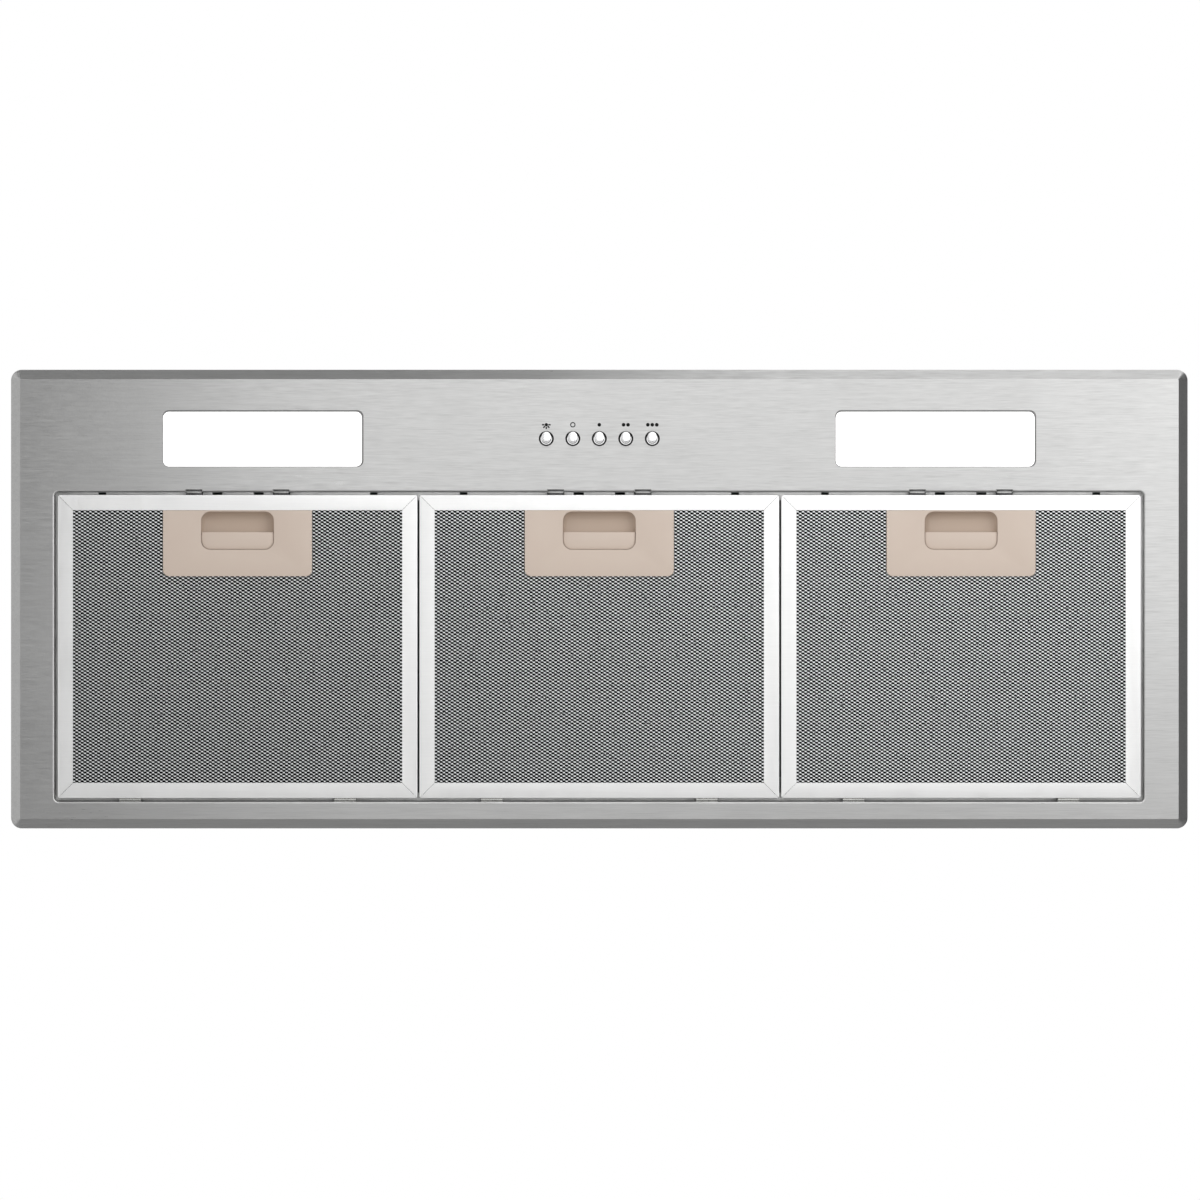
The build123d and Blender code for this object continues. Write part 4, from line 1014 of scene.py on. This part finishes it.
class HOOD_OT_handles(bpy.types.Operator):
    """Mould the filter handles with their finger scoops"""

    bl_idname = "hood.handles"
    bl_label = "Filter handles"

    def execute(self, context):
        low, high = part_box("filter_handle_centre")
        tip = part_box("latch_slider_centre")[0].y
        plate_top = low.z + 1.2 * mm
        plate_front, plate_back, corner = -57.7 * mm, -14.9 * mm, 4 * mm
        handle = slab(
            "handle_moulding_centre", (low.x, plate_front), (high.x, plate_back), low.z, plate_top,
            lambda v: v.y > -20 * mm, corner,
        )
        body_half, tongue_half = 24.95 * mm, 46.2 * mm
        body = block(
            "handle_body", (-body_half, -58.3 * mm, plate_top - 0.3 * mm), (body_half, high.y, high.z)
        )
        tongue = block(
            "handle_tongue", (-tongue_half, low.y, plate_top),
            (tongue_half, -57.5 * mm, plate_top + 1 * mm),
        )
        unite(handle, body, tongue)
        recess_corner, scoop_round = 6 * mm, 5.4 * mm
        recess = slab(
            "recess_tool", (-recess_side, recess_front), (recess_side, recess_back), low.z - 1 * mm,
            plate_top + 1 * mm, lambda v: True, recess_corner,
        )
        scoop = slab(
            "scoop_tool", (-recess_side, recess_front), (recess_side, -20.2 * mm), plate_top + 0.05 * mm,
            0, lambda v: v.y < -50 * mm, recess_corner,
        )
        bevel_edges(
            scoop, lambda a, b: min(a.z, b.z) > -tiny and max(a.y, b.y) < -50.9 * mm, scoop_round, 10
        )
        slot = block_mm("slider_slot", (-26, -42.2, -5.05), (26, -25.3, -3.15))
        cut(handle, recess, scoop, slot)
        soften(handle, 0.35 * mm, 50, 3)
        wear(handle, finishes["beige_plastic"])

        pad_half, pad_low, pad_high = 23.4 * mm, -5.95 * mm, -4.5 * mm
        pad = slab(
            "latch_moulding_centre", (-pad_half, -43.6 * mm), (pad_half, -32.35 * mm), pad_low, pad_high,
            lambda v: v.y > -40 * mm, 5.6 * mm,
        )
        soften(pad, 0.2 * mm, 50)
        wear(pad, finishes["beige_plastic"])
        # Blocks of the slider in millimetres: middle and half width in X, range in Y, range in Z
        blocks = [
            ("base", 0, 23.3, (-43.5, -30.6), (-5.5, -4.3), "beige_plastic"),
            ("wall", 0, 23.1, (-43.55, -42.0), (-4.6, -0.3), "beige_plastic"),
            ("bridge", 0, 33.4, (-42.0, -30.7), (-4.9, -3.5), "beige_plastic"),
        ]
        for sign in (-1, 1):
            nose = sign * nose_offset / mm
            blocks += [
                ("arm", sign * 29.4, 4.0, (-67.0, -31.0), (-4.9, -3.3), "black_plastic"),
                ("nose", nose, 5.0, (-69.05, -63.8), (-4.88, -3.32), "black_plastic"),
                ("tongue", nose, 4.95, (tip / mm, -66.0), (-4.2, -3.35), "latch_steel"),
            ]
        parts = [pad]
        for label, x, half, (front, back), (bottom, top), finish in blocks:
            part = block_mm(f"slider_{label}", (x - half, front, bottom), (x + half, back, top))
            soften(part, 0.2 * mm, 50)
            wear(part, finishes[finish])
            parts.append(part)
        slider = join("latch_moulding_centre", parts)
        share(
            filter_names, "centre", "beige_plastic",
            (handle, "handle_moulding", "filter_handle", "filter"),
            (slider, "latch_moulding", "latch_slider", "latch"),
        )
        return {"FINISHED"}


class HOOD_OT_buttons(bpy.types.Operator):
    """Turn the stepped chrome buttons on their square stems"""

    bl_idname = "hood.buttons"
    bl_label = "Push buttons"

    def execute(self, context):
        low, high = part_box("button_mid")
        centre = (low + high) / 2
        seat, rim, radius, stem_half = -5.4 * mm, -11.2 * mm, 3.75 * mm, 2.5 * mm
        axis = Vector((centre.x, centre.y + 0.3 * mm, rim))
        lean, neck, flare = Vector((0, -1.0 * mm, 0)), 1.30 * mm, 0.22 * mm
        button = disc("button_cap_mid", (axis.x, axis.y, (seat + rim) / 2), radius, seat - rim, 64)
        choose(button, "FACE", lambda c, n: n.z < -0.9)
        collar = ((0.06, 0.12), (0.08, 0.06), (0.50, 0.02), (0.05, -0.12), (0.25, -1.10), (0.06, 0))
        dome = ((0.10, 0.16), (0.22, 0.18), (0.38, 0.14), (0.55, 0.10), (0.70, 0.05), (0.60, 0.02))
        for step, rise in collar:
            bpy.ops.mesh.inset(thickness=step * mm, depth=rise * mm)
        for way in (Vector((0, 0, -neck)), lean - Vector((0, 0, flare))):
            bpy.ops.mesh.extrude_region_move(TRANSFORM_OT_translate={"value": way})
        bpy.ops.transform.resize(value=(1.16, 1.42, 1), center_override=axis + lean)
        for step, rise in dome:
            bpy.ops.mesh.inset(thickness=step * mm, depth=rise * mm)
        done()
        stem = block(
            "button_stem", (centre.x - stem_half, centre.y - stem_half, seat - 0.2 * mm),
            (centre.x + stem_half, centre.y + stem_half, high.z),
        )
        unite(button, stem)
        smooth(button, 32)
        wear(button, finishes["chromed"])
        share(button_names, "mid", "chromed", (button, "button_cap", "button", "button"))
        return {"FINISHED"}


class HOOD_OT_marks(bpy.types.Operator):
    """Print the lamp, off and speed marks above the buttons"""

    bl_idname = "hood.marks"
    bl_label = "Printed marks"

    def execute(self, context):
        places = {name: middle(f"button_{name}") for name in button_names}
        line = places["mid"].y - 9.0 * mm
        film, spacing = 0.02 * mm, 2.9 * mm
        height = face_height - film / 2

        def dot(x, radius):
            return disc("dot", (x, line, height), radius, film, 32)

        radius = context.scene.hood_sizes.mark_dot / 2
        shapes = []
        for name, count in (("low", 1), ("mid", 2), ("high", 3)):
            for index in range(count):
                shapes.append(dot(places[name].x + (index - (count - 1) / 2) * spacing, radius))
        ring_radius, ring_width, lamp_radius = 1.75 * mm, 0.65 * mm, 1.1 * mm
        ring = dot(places["off"].x, ring_radius)
        choose(ring, "FACE", lambda c, n: abs(n.z) > 0.9)
        bpy.ops.mesh.inset(thickness=ring_width)
        bpy.ops.mesh.bridge_edge_loops()
        done()
        shapes.append(ring)
        lamp_x = places["light"].x
        shapes.append(dot(lamp_x, lamp_radius))
        out, ray_length, ray_width = 2.05 * mm, 1.5 * mm, 0.95 * mm
        for degrees in (0, 45, 90, 135, 180):
            angle = radians(degrees)
            tip = (lamp_x + out * cos(angle), line + out * sin(angle), height)
            shapes.append(bar("ray", tip, (ray_length, ray_width, film), angle))
        marks = join("printed_marks", shapes)
        wear(marks, finishes["print_black"])
        mount(marks, "hood", "stainless")
        return {"FINISHED"}


class HOOD_OT_studio(bpy.types.Operator):
    """Set the camera below the face, the soft studio light and the pale floor"""

    bl_idname = "hood.studio"
    bl_label = "Studio"

    def execute(self, context):
        scene = context.scene
        scene.view_settings.view_transform = "Standard"
        clear()
        away = face_height - scene.hood_sizes.camera_distance
        bpy.ops.object.camera_add(location=(0.45 * mm, 0.6 * mm, away), rotation=(pi, 0, 0))
        camera = added("camera")
        camera.data.lens, camera.data.sensor_width, camera.data.clip_end = 300, 36, 100
        scene.camera = camera

        clear()
        bpy.ops.mesh.primitive_plane_add(size=80, location=(0, 0, -9))
        floor = added("floor")
        floor.visible_diffuse = floor.visible_glossy = floor.visible_shadow = False
        pale = bpy.data.materials.new("pale_floor")
        pale.use_nodes = True
        nodes, links = pale.node_tree.nodes, pale.node_tree.links
        paint = nodes["Principled BSDF"]
        paint.inputs["Base Color"].default_value = (0.9, 0.9, 0.9, 1)
        paint.inputs["Roughness"].default_value = 0.9
        paint.inputs["Emission Color"].default_value = (1, 1, 1, 1)
        path = nodes.new("ShaderNodeLightPath")
        links.new(path.outputs["Is Camera Ray"], paint.inputs["Emission Strength"])
        floor.data.materials.append(pale)

        world = bpy.data.worlds.new("soft_studio")
        scene.world = world
        world.use_nodes = True
        nodes, links = world.node_tree.nodes, world.node_tree.links
        background = nodes["Background"]
        background.inputs["Strength"].default_value = 1.0
        coordinates = nodes.new("ShaderNodeTexCoord")
        split = nodes.new("ShaderNodeSeparateXYZ")
        links.new(coordinates.outputs["Generated"], split.inputs["Vector"])

        def ramp(source, start, end, low, high):
            node = nodes.new("ShaderNodeMapRange")
            node.interpolation_type = "SMOOTHSTEP"
            values = {"From Min": start, "From Max": end, "To Min": low, "To Max": high}
            for key, value in values.items():
                if isinstance(value, float):
                    node.inputs[key].default_value = value
                else:
                    links.new(value, node.inputs[key])
            links.new(source, node.inputs["Value"])
            return node.outputs["Result"]

        # Brightness by direction: the left wall paler than the right, and the brightest light slanting
        # up from the control side
        x, y, z = (split.outputs[axis] for axis in "XYZ")
        steepness = nodes.new("ShaderNodeMath")
        steepness.operation = "ABSOLUTE"
        links.new(y, steepness.inputs[0])
        sides = ramp(x, -0.8, 0.8, 0.57, 0.02)
        ends = ramp(y, -0.8, 0.8, 0.14, 0.18)
        level = ramp(steepness.outputs["Value"], 0.55, 0.8, sides, ends)
        slant = ramp(y, -0.5, 0.6, 1.10, 0.86)
        ring = ramp(z, -0.60, -0.30, slant, level)
        below = ramp(z, -0.95, -0.82, 0.25, ring)
        light = ramp(z, 0.30, 0.6, below, 1.05)
        path = nodes.new("ShaderNodeLightPath")
        seen = nodes.new("ShaderNodeMix")
        links.new(path.outputs["Is Camera Ray"], seen.inputs["Factor"])
        links.new(light, seen.inputs["A"])
        seen.inputs["B"].default_value = 1.0
        links.new(seen.outputs["Result"], background.inputs["Color"])

        for name, place, aim, size, power in (
            ("softbox_below", (0.39, -0.47, -0.9), (0.39, -0.47, 0), (1.40, 1.12), 4.85),
            ("softbox_right", (0.85, -0.35, -1.0), (0.85, -0.35, 0), (0.9, 0.9), 1.2),
            ("softbox_front", (0.62, -1.25, 0.29), (0.25, 0, 0), (1.25, 0.5), 2.6),
            ("softbox_above", (-1.3, -1.4, 1.9), (0, 0, 0.1), (1.5, 1.5), 16),
        ):
            clear()
            bpy.ops.object.light_add(type="AREA", location=place)
            lamp = added(name)
            lamp.data.shape = "RECTANGLE"
            lamp.data.size, lamp.data.size_y = size
            lamp.data.energy = power
            lamp.visible_camera = False
            lamp.rotation_euler = (Vector(aim) - Vector(place)).to_track_quat("-Z", "Y").to_euler()
        return {"FINISHED"}


class HOOD_PT_panel(bpy.types.Panel):
    """Sizes, colours and the steps that dress the hood"""

    bl_label = "Range hood insert"
    bl_idname = "HOOD_PT_panel"
    bl_space_type = "VIEW_3D"
    bl_region_type = "UI"
    bl_category = "Hood"

    def draw(self, context):
        for group in (context.scene.hood_sizes, context.scene.hood_colours):
            box = self.layout.box()
            for key in group.__annotations__:
                box.prop(group, key)
        for step in steps:
            self.layout.operator(step.bl_idname)


steps = (
    HOOD_OT_finishes,
    HOOD_OT_studio,
    HOOD_OT_fascia,
    HOOD_OT_housing,
    HOOD_OT_blower,
    HOOD_OT_electrics,
    HOOD_OT_fixings,
    HOOD_OT_lamps,
    HOOD_OT_filter_rest,
    HOOD_OT_filter_rails,
    HOOD_OT_filter_mesh,
    HOOD_OT_handles,
    HOOD_OT_buttons,
    HOOD_OT_marks,
)
classes = (HoodSizes, HoodColours, *steps, HOOD_PT_panel)


def register():
    for each in classes:
        bpy.utils.register_class(each)
    bpy.types.Scene.hood_sizes = bpy.props.PointerProperty(type=HoodSizes)
    bpy.types.Scene.hood_colours = bpy.props.PointerProperty(type=HoodColours)


def unregister():
    del bpy.types.Scene.hood_sizes
    del bpy.types.Scene.hood_colours
    for each in reversed(classes):
        bpy.utils.unregister_class(each)


def main():
    register()
    for step in steps:
        family, name = step.bl_idname.split(".")
        getattr(getattr(bpy.ops, family), name)()


if __name__ == "__main__":
    main()
